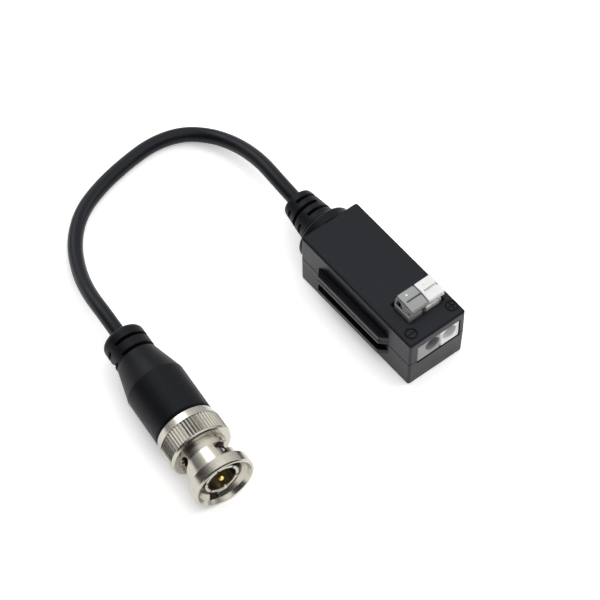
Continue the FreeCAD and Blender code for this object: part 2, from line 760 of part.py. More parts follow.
def chip(x, y, height):
    """Chip part with raised end caps."""
    half = CHIP_LEN / 2
    cap = CHIP_LEN * 0.2
    part = block(x - CHIP_WIDTH / 2, x + CHIP_WIDTH / 2, y - half, y + half, PCB_TOP, PCB_TOP + height)
    middle = block(x - CHIP_WIDTH, x + CHIP_WIDTH, y - half + cap, y + half - cap,
                   PCB_TOP + height * 0.93, PCB_TOP + 2 * height)
    return part.cut(middle)


def make_chip_resistors():
    return Part.makeCompound([chip(x, y, RESISTOR_H) for x, y in RESISTORS])


def make_chip_capacitors():
    return Part.makeCompound([chip(x, y, CAPACITOR_H) for x, y in CAPACITORS])


def make_solder_joints():
    """Solder cones round the two terminal tails, under the board."""
    under = PCB_TOP - PCB_T
    cones = []
    for index in range(2):
        at = V(contact_tail_x(), module_hole_y(index), under)
        cone = Part.makeCone(0.8, 0.5, 0.6, at, V(0, 0, -1))
        cones.append(cone.cut(rod(TAIL_R, at, at - V(0, 0, 2))))
    return Part.makeCompound(cones)


# Cable end inside the housing

def make_coax_jacket_end():
    """Stripped end of the cable between the strain relief and the board."""
    start = V(-LENGTH / 2 + WALL + INNER_FLANGE, EXIT_Y, EXIT_Z)
    return rod(CABLE_R, start, V(COAX_END_X, EXIT_Y, EXIT_Z))


def make_coax_core_end():
    """Inner insulation and the bare conductor bent down to its pad."""
    start = V(COAX_END_X, EXIT_Y, EXIT_Z)
    bend = start + V(1.4, 0, 0)
    core = rod(CORE_END_R, start, start + V(0.8, 0, 0))
    wire = rod(WIRE_END_R, start + V(0.8, 0, 0), bend)
    knee = Part.makeSphere(WIRE_END_R, bend)
    drop = rod(WIRE_END_R, bend, V(bend.x, bend.y, PCB_TOP))
    return core.fuse(wire).fuse(knee).fuse(drop).removeSplitter()


def make_coax_braid_tail():
    """Braid gathered to one side and bent down to its pad."""
    start = V(COAX_END_X, EXIT_Y - 1.4, EXIT_Z)
    first = start + V(0.4, 0, 0)
    bend = first + V(0.4, -1.0, 0)
    lead = rod(BRAID_END_R, start, first).fuse(Part.makeSphere(BRAID_END_R, first))
    lead = lead.fuse(rod(BRAID_END_R, first, bend)).fuse(Part.makeSphere(BRAID_END_R, bend))
    lead = lead.fuse(rod(BRAID_END_R, bend, V(bend.x, bend.y, PCB_TOP)))
    jacket_side = block(start.x - 1, start.x, start.y - 1, start.y + 1, start.z - 1, start.z + 1)
    return lead.cut(jacket_side).removeSplitter()


# Strain relief and cable

def relief_frame():
    """Place and direction of the strain relief's slotted tail."""
    start = V(-LENGTH / 2, EXIT_Y, EXIT_Z)
    return start, ROUTE[0] - start


def to_axis(shape, start, along):
    """Move a shape built along +X onto another axis, keeping its Y sideways."""
    yaw = math.degrees(math.atan2(along.y, along.x))
    pitch = -math.degrees(math.atan2(along.z, math.hypot(along.x, along.y)))
    turn = FreeCAD.Rotation(V(0, 0, 1), yaw).multiply(FreeCAD.Rotation(V(0, 1, 0), pitch))
    moved = shape.copy()
    moved.Placement = FreeCAD.Placement(start, turn).multiply(moved.Placement)
    return moved


def flex_slots(stations, radius, depth, width, spans):
    """Rows of arc slots that let a sleeve bend; spans holds each row's angle pairs."""
    cuts = None
    for row, s in enumerate(stations):
        for start, end in spans[row % len(spans)]:
            cut = sector(radius - depth, radius + 2, s - width / 2, s + width / 2, start, end)
            cuts = cut if cuts is None else cuts.fuse(cut)
    return cuts


def make_strain_relief():
    start, along = relief_frame()
    end = along.Length
    tail = [
        (0, 0), (0, COLLAR_R), (COLLAR_END, COLLAR_R), (COLLAR_END + 0.3, RELIEF_R0),
        (end - RELIEF_EDGE, RELIEF_R1), (end - RELIEF_EDGE * 0.3, RELIEF_R1 - RELIEF_EDGE * 0.3),
        (end, RELIEF_R1 - RELIEF_EDGE), (end, 0),
    ]
    sleeve = turned(tail)
    spans = [[(62, 209), (242, 388)], [(152, 299), (332, 478)]]
    sleeve = sleeve.cut(flex_slots(RELIEF_SLOTS, RELIEF_R1 + 0.3, SLOT_DEEP, SLOT_W, spans))
    sleeve = to_axis(sleeve, start, along)
    boss = rod(BOSS_R, V(start.x, EXIT_Y, EXIT_Z), V(start.x - BOSS, EXIT_Y, EXIT_Z))
    rim = edges_near(boss, lambda e, m: abs(m.x - start.x + BOSS) < 1e-6)
    boss = boss.makeFillet(BOSS_EDGE, rim)
    inside = start.x + WALL
    neck = rod(NECK_R, V(start.x - BOSS / 2, EXIT_Y, EXIT_Z), V(inside + INNER_FLANGE, EXIT_Y, EXIT_Z))
    flange = rod(INNER_FLANGE_R, V(inside + FIT / 2, EXIT_Y, EXIT_Z),
                 V(inside + INNER_FLANGE, EXIT_Y, EXIT_Z))
    relief = sleeve.fuse(boss).fuse(neck).fuse(flange)
    behind = block(start.x, start.x + WALL, -WIDTH, WIDTH, 0, HEIGHT).cut(
        rod(NECK_R, V(start.x - 1, EXIT_Y, EXIT_Z), V(inside + 1, EXIT_Y, EXIT_Z)))
    return relief.cut(behind).removeSplitter()


def cable_path():
    """Straight runs joined by tangent arcs, each as large as its runs allow."""
    edges = []
    radii = []
    start = ROUTE[0]
    for i in range(1, len(ROUTE) - 1):
        before = ROUTE[i] - ROUTE[i - 1]
        after = ROUTE[i + 1] - ROUTE[i]
        turn = before.getAngle(after)
        reach = 0.45 * min(before.Length, after.Length)
        radii.append(reach / math.tan(turn / 2))
        u = V(before).normalize()
        w = V(after).normalize()
        first = ROUTE[i] - u * reach
        last = ROUTE[i] + w * reach
        inward = (w - u).normalize()
        sag = radii[-1] / math.cos(turn / 2) - radii[-1]
        edges.append(Part.LineSegment(start, first).toShape())
        edges.append(Part.Arc(first, ROUTE[i] + inward * sag, last).toShape())
        start = last
    edges.append(Part.LineSegment(start, ROUTE[-1]).toShape())
    return Part.Wire(edges), radii


def make_cable():
    path, radii = cable_path()
    first = (ROUTE[1] - ROUTE[0]).normalize()
    circle = Part.Wire(Part.Circle(ROUTE[0], first, CABLE_R).toShape())
    cable = path.makePipeShell([circle], True, True)
    section = math.pi * CABLE_R ** 2
    print("cable length %.1f, bend radii %s" % (path.Length, [round(r, 1) for r in radii]))
    print("cable volume %.1f, section times length %.1f" % (cable.Volume, section * path.Length))
    return cable


# Plug

def on_plug(shape):
    """Move a shape built along +X onto the plug's axis."""
    moved = shape.copy()
    turn = FreeCAD.Rotation(V(0, 0, 1), PLUG_YAW)
    moved.Placement = FreeCAD.Placement(PLUG_AT, turn).multiply(moved.Placement)
    return moved


def make_plug_boot():
    start = BOOT_EDGE
    k = BOOT_EDGE * (1 - math.sqrt(0.5))
    rear = V(0, BOOT_COLLAR_R - BOOT_EDGE, 0)
    top = V(start, BOOT_COLLAR_R, 0)
    points = [
        top, V(BOOT_COLLAR, BOOT_COLLAR_R, 0), V(BOOT_TAPER, BOOT_R, 0), V(BOOT_END - 0.4, BOOT_R, 0),
        V(BOOT_END, BOOT_R - 0.4, 0), V(BOOT_END, NECK_BODY_R + FIT, 0),
        V(BODY_NECK, NECK_BODY_R + FIT, 0), V(BODY_NECK, BODY_REAR_R, 0),
        V(BODY_REAR, BODY_REAR_R, 0), V(BODY_REAR, FERRULE_R, 0), V(FERRULE_0, FERRULE_R, 0),
        V(FERRULE_0, 0, 0), V(0, 0, 0), rear,
    ]
    unique = [p for i, p in enumerate(points) if i == 0 or (p - points[i - 1]).Length > 1e-6]
    edges = [Part.LineSegment(a, b).toShape() for a, b in zip(unique, unique[1:])]
    edges.append(Part.Arc(rear, V(k, BOOT_COLLAR_R - k, 0), top).toShape())
    boot = turned_wire(edges)
    spans = [[(-15, 134), (158, 318)]]
    boot = boot.cut(flex_slots(BOOT_SLOTS, BOOT_COLLAR_R, SLOT_DEEP, SLOT_W, spans))
    return on_plug(boot.removeSplitter())


def make_crimp_ferrule():
    return on_plug(tube(FERRULE_R, FERRULE_BORE, FERRULE_0, FERRULE_1))


def make_plug_core():
    """Braid support and inner insulation of the cable inside the ferrule."""
    return on_plug(turned([(FERRULE_0, 0), (BODY_REAR, 0), (BODY_REAR, CORE_R), (FERRULE_0, CORE_R)]))


def make_plug_body():
    """Turned body with its crimp tail and the slit outer contact."""
    clip0 = clip_start()
    groove_r = NECK_BODY_R - CLIP_DEEP
    profile = [
        (FERRULE_0 + 1, CORE_R), (BODY_REAR, CORE_R), (BODY_REAR + 1, SLEEVE_BORE_R),
        (SLEEVE_END, SLEEVE_BORE_R), (SLEEVE_END, SLEEVE_R), (BODY_FRONT, SLEEVE_R),
        (BODY_FRONT, NECK_BODY_R), (clip0 + CLIP_T + STACK_GAP, NECK_BODY_R),
        (clip0 + CLIP_T + STACK_GAP, groove_r), (clip0 - STACK_GAP, groove_r),
        (clip0 - STACK_GAP, NECK_BODY_R), (BODY_NECK, NECK_BODY_R),
        (BODY_NECK, BODY_REAR_R), (BODY_REAR, BODY_REAR_R), (BODY_REAR, FERRULE_BORE),
        (FERRULE_0 + 1, FERRULE_BORE),
    ]
    body = turned(profile)
    for turn in SLIT_TURNS:
        slit = block(SLIT_START, SLEEVE_END + 1, -SLIT_W / 2, SLIT_W / 2, -RING_R, RING_R)
        slit.rotate(V(0, 0, 0), V(1, 0, 0), turn)
        body = body.cut(slit)
    return on_plug(body)


def make_insulator():
    s0 = BODY_REAR + 1.5
    return on_plug(tube(SLEEVE_BORE_R, PIN_R, s0, INSULATOR_END))


def make_center_pin():
    nose = 0.5
    profile = [
        (BODY_REAR + 0.05, 0), (BODY_REAR + 0.05, PIN_R), (PIN_END - nose, PIN_R),
        (PIN_END - nose * 0.35, PIN_R * 0.75), (PIN_END, PIN_R * 0.3), (PIN_END, 0),
    ]
    return on_plug(turned(profile))


def make_gasket():
    return on_plug(tube(GASKET_R, SLEEVE_R, GASKET_0 - 0.1, GASKET_1))


def thrust_start():
    return RING_LIP_1 + STACK_GAP


def wave_start():
    return thrust_start() + THRUST_T + STACK_GAP


def clip_start():
    return wave_start() + WAVE_H + STACK_GAP


def make_thrust_washer():
    return on_plug(tube(WASHER_R, NECK_BODY_R + RING_LIP_PLAY, thrust_start(), thrust_start() + THRUST_T))


def make_wave_washer():
    """Spring washer with three waves."""
    sections = []
    count = 24
    for i in range(count):
        angle = 360.0 * i / count
        lift = (WAVE_H - WAVE_T) * (0.5 - 0.5 * math.cos(math.radians(3 * angle)))
        s = wave_start() + lift
        wire = polygon([V(s, NECK_BODY_R + 0.15, 0), V(s + WAVE_T, NECK_BODY_R + 0.15, 0),
                        V(s + WAVE_T, WASHER_R - 0.05, 0), V(s, WASHER_R - 0.05, 0)])
        wire.rotate(V(0, 0, 0), V(1, 0, 0), angle)
        sections.append(wire)
    return on_plug(Part.makeLoft(sections, True, True, True))


def make_retaining_ring():
    """Open clip in the body's groove that holds the washers and the coupling ring."""
    s0 = clip_start()
    ring = tube(WASHER_R, NECK_BODY_R - CLIP_DEEP + STACK_GAP, s0, s0 + CLIP_T)
    gap = block(s0 - 1, s0 + CLIP_T + 1, 0, RING_R, -0.8, 0.8)
    gap.rotate(V(0, 0, 0), V(1, 0, 0), -90)
    return on_plug(ring.cut(gap))


def knurl():
    """Straight knurl as a star prism."""
    points = []
    for i in range(KNURL_TEETH):
        for turn, radius in ((0.0, RING_R), (0.5, RING_R - KNURL_DEEP)):
            angle = 2 * math.pi * (i + turn) / KNURL_TEETH
            points.append(V(KNURL_0, radius * math.cos(angle), radius * math.sin(angle)))
    return prism(points, V(KNURL_1 - KNURL_0, 0, 0))


def bayonet_slot(start):
    """Way in for a stud: straight through the rim, then back along a helix to a round seat."""
    low = BARREL_BORE_R - 0.6
    half = math.degrees(BAYONET_W / 2 / BARREL_OUT_R)
    entry = sector(low, RIM_BORE_R, BAYONET_LAND - BAYONET_W / 2, RIM_1 + 1, start - half, start + half)
    cuts = entry
    steps = 9
    for i in range(steps + 1):
        share = i / steps
        s = BAYONET_LAND + (BAYONET_DETENT - BAYONET_LAND) * share
        angle = math.radians(start - SLOT_SWEEP * share)
        out = V(0, math.cos(angle), math.sin(angle))
        at = V(s, 0, 0) + out * low
        cuts = cuts.fuse(Part.makeCylinder(BAYONET_W / 2, BARREL_FLARE_R + 0.3 - low, at, out))
    return cuts


def make_coupling_ring():
    profile = [
        (RING_REAR, NECK_BODY_R + 3 * RING_LIP_PLAY), (RING_REAR, RING_REAR_R),
        (RING_REAR + 0.3, RING_REAR_R + 0.3), (RING_REAR + 1.4, RING_REAR_R + 0.5), (KNURL_0, RING_R),
        (KNURL_0, RING_R - KNURL_DEEP - 0.1), (KNURL_1, RING_R - KNURL_DEEP - 0.1),
        (KNURL_1, RING_R - 0.1), (KNURL_END - 0.35, RING_R - 0.1), (KNURL_END, RING_R - 0.45),
        (KNURL_END, BARREL_OUT_R), (BARREL_FLARE, BARREL_OUT_R), (RIM_0, BARREL_FLARE_R),
        (RIM_0, RIM_R), (RIM_1 - 0.3, RIM_R), (RIM_1, RIM_R - 0.3), (RIM_1, MOUTH_R),
        (RIM_1 - 0.9, RIM_BORE_R), (RIM_1 - 1.7, BARREL_BORE_R + 0.35), (RIM_1 - 2.4, BARREL_BORE_R),
        (RING_BORE_END, BARREL_BORE_R),
        (RING_BORE_END, RING_BORE_R), (RING_LIP_1, RING_BORE_R), (RING_LIP_1, NECK_BODY_R + RING_LIP_PLAY),
        (RING_LIP_0, NECK_BODY_R + RING_LIP_PLAY), (RING_LIP_0, NECK_BODY_R + 3 * RING_LIP_PLAY),
    ]
    ring = turned(profile)
    teeth = knurl().cut(tube(RING_R - KNURL_DEEP - 0.4, 0.0, KNURL_0 - 1, KNURL_1 + 1))
    ring = ring.fuse(teeth)
    for start in (SLOT_ENTRY, SLOT_ENTRY + 180):
        ring = ring.cut(bayonet_slot(start))
    return on_plug(ring.removeSplitter())


def build():
    """All pieces by name."""
    parts = {
        "upper_shell": make_upper_shell(),
        "lower_shell": make_lower_shell(),
        "circuit_board": make_circuit_board(),
        "choke_base": make_choke_base(),
        "choke_core": make_choke_core(),
        "choke_winding_a": make_choke_winding(1),
        "choke_winding_b": make_choke_winding(-1),
        "surge_arrester": make_surge_arrester(),
        "surge_diode": make_surge_diode(),
        "chip_resistors": make_chip_resistors(),
        "chip_capacitors": make_chip_capacitors(),
        "solder_joints": make_solder_joints(),
        "coax_jacket_end": make_coax_jacket_end(),
        "coax_core_end": make_coax_core_end(),
        "coax_braid_tail": make_coax_braid_tail(),
        "strain_relief": make_strain_relief(),
        "cable": make_cable(),
        "plug_boot": make_plug_boot(),
        "crimp_ferrule": make_crimp_ferrule(),
        "plug_core": make_plug_core(),
        "plug_body": make_plug_body(),
        "insulator": make_insulator(),
        "center_pin": make_center_pin(),
        "gasket": make_gasket(),
        "thrust_washer": make_thrust_washer(),
        "wave_washer": make_wave_washer(),
        "retaining_ring": make_retaining_ring(),
        "coupling_ring": make_coupling_ring(),
    }
    for index, sign in enumerate(("minus", "plus")):
        parts["terminal_body_" + sign] = make_terminal_body(index)
        parts["lever_" + sign] = make_lever(index)
        parts["clamp_spring_" + sign] = make_clamp_spring(index)
        parts["contact_bar_" + sign] = make_contact_bar(index)
    return parts


os.makedirs("parts", exist_ok=True)
for name, shape in build().items():
    shape.exportStep(os.path.join("parts", name + ".step"))
    print("%-20s solids %d valid %s volume %.2f" % (name, len(shape.Solids), shape.isValid(), shape.Volume))
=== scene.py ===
"""Dressed video balun: black moulded housing, coax pigtail and bayonet plug.

The CAD pieces keep their shapes and get procedural finishes. The cable, the engraved polarity
signs and the small gate marks on the levers are made here. All sizes are in metres, in the
frame of the CAD part.
"""

import json
import logging
import math
from collections.abc import Callable
from dataclasses import dataclass, field
from enum import Enum
from typing import ClassVar

import bmesh
import bpy
from mathutils import Matrix, Vector


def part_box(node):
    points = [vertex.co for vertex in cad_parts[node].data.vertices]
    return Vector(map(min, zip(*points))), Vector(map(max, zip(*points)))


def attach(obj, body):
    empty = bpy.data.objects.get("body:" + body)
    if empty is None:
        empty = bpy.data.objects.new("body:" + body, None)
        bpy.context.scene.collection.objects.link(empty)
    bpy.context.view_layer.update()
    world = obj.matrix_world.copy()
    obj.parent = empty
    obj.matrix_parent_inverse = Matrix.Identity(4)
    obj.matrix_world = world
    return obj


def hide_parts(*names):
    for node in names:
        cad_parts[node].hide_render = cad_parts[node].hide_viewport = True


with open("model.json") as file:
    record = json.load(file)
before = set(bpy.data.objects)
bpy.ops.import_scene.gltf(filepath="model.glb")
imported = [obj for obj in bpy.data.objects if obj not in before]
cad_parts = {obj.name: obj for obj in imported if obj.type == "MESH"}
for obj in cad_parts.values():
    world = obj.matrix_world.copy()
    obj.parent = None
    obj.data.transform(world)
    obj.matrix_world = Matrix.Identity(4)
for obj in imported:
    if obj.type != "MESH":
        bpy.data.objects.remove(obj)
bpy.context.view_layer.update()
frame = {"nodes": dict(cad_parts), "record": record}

log = logging.getLogger("balun")

Colour = tuple[float, float, float]
Point = tuple[float, float, float]
MM = 0.001
BLACK = (0.0, 0.0, 0.0)

# Tint of what the black plastics mirror.
COOL = (0.84, 0.88, 1.0)

# Middle line of the cable, from the strain relief to the plug's boot.
CABLE_ROUTE: tuple[Point, ...] = (
    (-0.03200, 0.00103, 0.00800),
    (-0.03930, 0.00138, 0.00800),
    (-0.04715, 0.00233, 0.00690),
    (-0.05506, 0.00222, 0.00460),
    (-0.06240, 0.00031, 0.00240),
    (-0.06775, -0.00469, 0.00185),
    (-0.06977, -0.01212, 0.00185),
    (-0.06905, -0.02060, 0.00185),
    (-0.06735, -0.02936, 0.00185),
    (-0.06420, -0.03754, 0.00185),
    (-0.05840, -0.04394, 0.00190),
    (-0.05075, -0.04839, 0.00300),
    (-0.04267, -0.05146, 0.00570),
    (-0.03451, -0.05292, 0.00770),
    (-0.02727, -0.05386, 0.00770),
)

# The plug lies along the last run of the cable.
PLUG_AXIS = Vector([end - start for start, end in zip(*CABLE_ROUTE[-2:])]).normalized()

# Centres of the polarity signs, along and across the housing.
MINUS_SIGN_AT = (16.46 * MM, -5.53 * MM)
PLUS_SIGN_AT = (16.26 * MM, 6.45 * MM)

# Place of the minus lever's gate mark across the housing. The plus lever's is a pitch further.
GATE_ACROSS = -1.1 * MM
LEVER_PITCH = 5.0 * MM


class Effect(Enum):
    """Shared surface effects, each one shader node group."""

    GRAIN = "Moulded grain"
    EDGES = "Softened edges"
    MARKS = "Handling marks"
    TURNING = "Turning marks"
    DUST = "Settled dust"
    RECESS = "Shaded recesses"


class Sign(Enum):
    """Polarity signs engraved beside the terminals."""

    MINUS = "minus"
    PLUS = "plus"


class Graph:
    """Short calls for laying out a shader node tree."""

    def __init__(self, tree: bpy.types.NodeTree) -> None:
        """Start from an empty tree."""
        self.tree = tree
        tree.nodes.clear()

    def add(self, kind: str, inputs: dict | None = None, **settings: object) -> bpy.types.Node:
        """Add a node, set its properties and feed its inputs.

        Args:
            kind: Blender's name of the node type.
            inputs: Socket name or number to a constant or to another node's output socket.
            settings: Properties of the node itself.

        Returns:
            The new node.
        """
        node = self.tree.nodes.new(kind)
        for key, value in settings.items():
            setattr(node, key, value)
        for key, value in (inputs or {}).items():
            if isinstance(value, bpy.types.NodeSocket):
                self.tree.links.new(value, node.inputs[key])
            else:
                node.inputs[key].default_value = value
        return node

    def math(self, operation: str, *values: object, clamp: bool = False) -> bpy.types.NodeSocket:
        """Add a Math node.

        Args:
            operation: Name of the sum, such as MULTIPLY.
            values: Its inputs in order, as constants or sockets.
            clamp: Whether the result is held between 0 and 1.

        Returns:
            The node's output socket.
        """
        node = self.add("ShaderNodeMath", dict(enumerate(values)),
                        operation=operation, use_clamp=clamp)
        return node.outputs[0]

    def remap(self, value: bpy.types.NodeSocket, start: float, end: float,
              low: float = 0.0, high: float = 1.0, curve: str = "LINEAR") -> bpy.types.NodeSocket:
        """Carry one range of values over to another, held at its ends.

        Args:
            value: The socket to read.
            start: Value that becomes low.
            end: Value that becomes high.
            low: Result at the start.
            high: Result at the end.
            curve: Blender's name of the way between them.

        Returns:
            The new value's socket.
        """
        node = self.add("ShaderNodeMapRange", {0: value, 1: start, 2: end, 3: low, 4: high},
                        interpolation_type=curve)
        return node.outputs[0]

    def blend(self, factor: object, first: object, second: object) -> bpy.types.NodeSocket:
        """Mix two colours.

        Args:
            factor: Share of the second colour, as a constant or a socket.
            first: Colour at factor 0.
            second: Colour at factor 1.

        Returns:
            The mixed colour's socket.
        """
        # The colour sockets share their names with others, so they are told by number.
        node = self.add("ShaderNodeMix", data_type="RGBA")
        for key, value in ((0, factor), (6, first), (7, second)):
            if isinstance(value, bpy.types.NodeSocket):
                self.tree.links.new(value, node.inputs[key])
            elif key:
                node.inputs[key].default_value = (*value, 1.0)
            else:
                node.inputs[key].default_value = value
        return node.outputs[2]


class Effects:
    """Builds each shared effect once and places it in materials."""

    # Scales of the broad patches and bands, as shares of the fine texture's scale.
    PATCH_SHARE: ClassVar[float] = 0.04
    BAND_SHARE: ClassVar[float] = 0.07
    # How fast the edge mask rises as the rounded normal turns away from the flat one.
    EDGE_GAIN: ClassVar[float] = 5.0
    # Spans of the noise in which smudges, scratches and specks come up.
    SMUDGE_SPAN: ClassVar[tuple[float, float]] = (0.42, 0.68)
    SCRATCH_SPAN: ClassVar[tuple[float, float]] = (0.66, 0.72)
    SPECK_SPAN: ClassVar[tuple[float, float]] = (0.60, 0.78)
    # Turn and stretch that draw the noise out into hairs.
    HAIR_TURN: ClassVar[Point] = (0.3, 0.7, 0.9)
    HAIR_STRETCH: ClassVar[Point] = (1.0, 26.0, 1.0)
    # Samples of each rounded edge and of each recess.
    RAYS: ClassVar[int] = 4

    def __init__(self) -> None:
        """Build every group."""
        self.groups: dict[Effect, bpy.types.NodeTree] = {}
        makers: dict[Effect, Callable[[], bpy.types.NodeTree]] = {
            Effect.GRAIN: self.make_grain,
            Effect.EDGES: self.make_edges,
            Effect.MARKS: self.make_marks,
            Effect.TURNING: self.make_turning,
            Effect.DUST: self.make_dust,
            Effect.RECESS: self.make_recess,
        }
        for effect, maker in makers.items():
            self.groups[effect] = maker()

    def place(self, graph: Graph, effect: Effect, **values: float) -> bpy.types.Node:
        """Place an effect in a material.

        Args:
            graph: The material's tree.
            effect: Which effect.
            values: Its inputs by name.

        Returns:
            The group node.
        """
        node = graph.add("ShaderNodeGroup", node_tree=self.groups[effect])
        for key, value in values.items():
            node.inputs[key].default_value = value
        return node

    @staticmethod
    def start(effect: Effect, inputs: dict[str, object], outputs: dict[str, str]) -> tuple:
        """Make an empty group with its named sockets.

        Args:
            effect: Which effect the group holds.
            inputs: Input name to its default, a number or a vector.
            outputs: Output name to its socket type.

        Returns:
            The group's graph, its input node and its output node.
        """
        tree = bpy.data.node_groups.new(effect.value, "ShaderNodeTree")
        graph = Graph(tree)
        for name, default in inputs.items():
            kind = "NodeSocketVector" if isinstance(default, tuple) else "NodeSocketFloat"
            socket = tree.interface.new_socket(name=name, in_out="INPUT", socket_type=kind)
            socket.default_value = default
        for name, kind in outputs.items():
            tree.interface.new_socket(name=name, in_out="OUTPUT", socket_type=kind)
        return graph, graph.add("NodeGroupInput"), graph.add("NodeGroupOutput")

    def make_grain(self) -> bpy.types.NodeTree:
        """Fine spark-eroded texture with a broad, faint change of tone."""
        graph, given, out = self.start(
            Effect.GRAIN, {"Scale": 6000.0},
            {"Height": "NodeSocketFloat", "Mottle": "NodeSocketFloat"})
        scale = given.outputs["Scale"]
        place = graph.add("ShaderNodeTexCoord").outputs["Object"]
        fine = graph.add("ShaderNodeTexNoise", {
            "Vector": place, "Scale": scale, "Detail": 3.0, "Roughness": 0.65})
        wide = graph.math("MULTIPLY", scale, self.PATCH_SHARE)
        broad = graph.add("ShaderNodeTexNoise", {"Vector": place, "Scale": wide, "Detail": 4.0})
        graph.tree.links.new(fine.outputs[0], out.inputs["Height"])
        graph.tree.links.new(broad.outputs[0], out.inputs["Mottle"])
        return graph.tree

    def make_edges(self) -> bpy.types.NodeTree:
        """Rounded normals along sharp edges, and a mask of where they are."""
        graph, given, out = self.start(
            Effect.EDGES, {"Radius": 0.2 * MM},
            {"Normal": "NodeSocketVector", "Edge": "NodeSocketFloat"})
        bevel = graph.add("ShaderNodeBevel", {"Radius": given.outputs["Radius"]},
                          samples=self.RAYS)
        flat = graph.add("ShaderNodeNewGeometry").outputs["Normal"]
        dot = graph.add("ShaderNodeVectorMath", {0: bevel.outputs[0], 1: flat},
                        operation="DOT_PRODUCT")
        turned = graph.math("SUBTRACT", 1.0, dot.outputs["Value"])
        edge = graph.math("MULTIPLY", turned, self.EDGE_GAIN, clamp=True)
        graph.tree.links.new(bevel.outputs[0], out.inputs["Normal"])
        graph.tree.links.new(edge, out.inputs["Edge"])
        return graph.tree

    def make_marks(self) -> bpy.types.NodeTree:
        """Faint smudges and hair scratches from handling."""
        graph, given, out = self.start(
            Effect.MARKS, {"Scale": 300.0},
            {"Smudge": "NodeSocketFloat", "Scratch": "NodeSocketFloat"})
        scale = given.outputs["Scale"]
        place = graph.add("ShaderNodeTexCoord").outputs["Object"]
        cloud = graph.add("ShaderNodeTexNoise", {
            "Vector": place, "Scale": scale, "Detail": 5.0, "Distortion": 0.6})
        turned = graph.add("ShaderNodeMapping", {
            "Vector": place, "Rotation": self.HAIR_TURN, "Scale": self.HAIR_STRETCH})
        hair = graph.add("ShaderNodeTexNoise", {
            "Vector": turned.outputs[0], "Scale": scale, "Detail": 2.0, "Distortion": 0.3})
        smudge = graph.remap(cloud.outputs[0], *self.SMUDGE_SPAN)
        scratch = graph.remap(hair.outputs[0], *self.SCRATCH_SPAN)
        graph.tree.links.new(smudge, out.inputs["Smudge"])
        graph.tree.links.new(scratch, out.inputs["Scratch"])
        return graph.tree

    def make_turning(self) -> bpy.types.NodeTree:
        """Fine rings that a lathe tool leaves round an axis."""
        graph, given, out = self.start(
            Effect.TURNING, {"Axis": (1.0, 0.0, 0.0), "Scale": 9000.0},
            {"Height": "NodeSocketFloat", "Shade": "NodeSocketFloat"})
        scale = given.outputs["Scale"]
        place = graph.add("ShaderNodeTexCoord").outputs["Object"]
        along = graph.add("ShaderNodeVectorMath", {0: place, 1: given.outputs["Axis"]},
                          operation="DOT_PRODUCT").outputs["Value"]
        fine = graph.add("ShaderNodeTexNoise", {"W": along, "Scale": scale, "Detail": 3.0},
                         noise_dimensions="1D")
        wide = graph.math("MULTIPLY", scale, self.BAND_SHARE)
        bands = graph.add("ShaderNodeTexNoise", {"W": along, "Scale": wide, "Detail": 2.0},
                          noise_dimensions="1D")
        graph.tree.links.new(fine.outputs[0], out.inputs["Height"])
        graph.tree.links.new(bands.outputs[0], out.inputs["Shade"])
        return graph.tree

    def make_dust(self) -> bpy.types.NodeTree:
        """Specks that settle on what faces up."""
        graph, given, out = self.start(
            Effect.DUST, {"Scale": 2500.0, "Amount": 0.3}, {"Dust": "NodeSocketFloat"})
        place = graph.add("ShaderNodeTexCoord").outputs["Object"]
        speck = graph.add("ShaderNodeTexNoise", {
            "Vector": place, "Scale": given.outputs["Scale"], "Detail": 6.0})
        sharp = graph.remap(speck.outputs[0], *self.SPECK_SPAN)
        normal = graph.add("ShaderNodeNewGeometry").outputs["Normal"]
        up = graph.add("ShaderNodeSeparateXYZ", {0: normal}).outputs["Z"]
        facing = graph.math("MULTIPLY", graph.math("MAXIMUM", up, 0.0), sharp)
        dust = graph.math("MULTIPLY", facing, given.outputs["Amount"], clamp=True)
        graph.tree.links.new(dust, out.inputs["Dust"])
        return graph.tree

    def make_recess(self) -> bpy.types.NodeTree:
        """How open the surface is: 1 on plain faces, less in grooves and corners, where the
        finishes paint shade.
        """
        graph, given, out = self.start(
            Effect.RECESS, {"Reach": 0.3 * MM, "Depth": 0.5}, {"Open": "NodeSocketFloat"})
        near = graph.add("ShaderNodeAmbientOcclusion", {"Distance": given.outputs["Reach"]},
                         samples=self.RAYS, only_local=True)
        shut = graph.math("SUBTRACT", 1.0, near.outputs["AO"])
        kept = graph.math("MULTIPLY", shut, given.outputs["Depth"])
        left = graph.math("SUBTRACT", 1.0, kept, clamp=True)
        graph.tree.links.new(left, out.inputs["Open"])
        return graph.tree


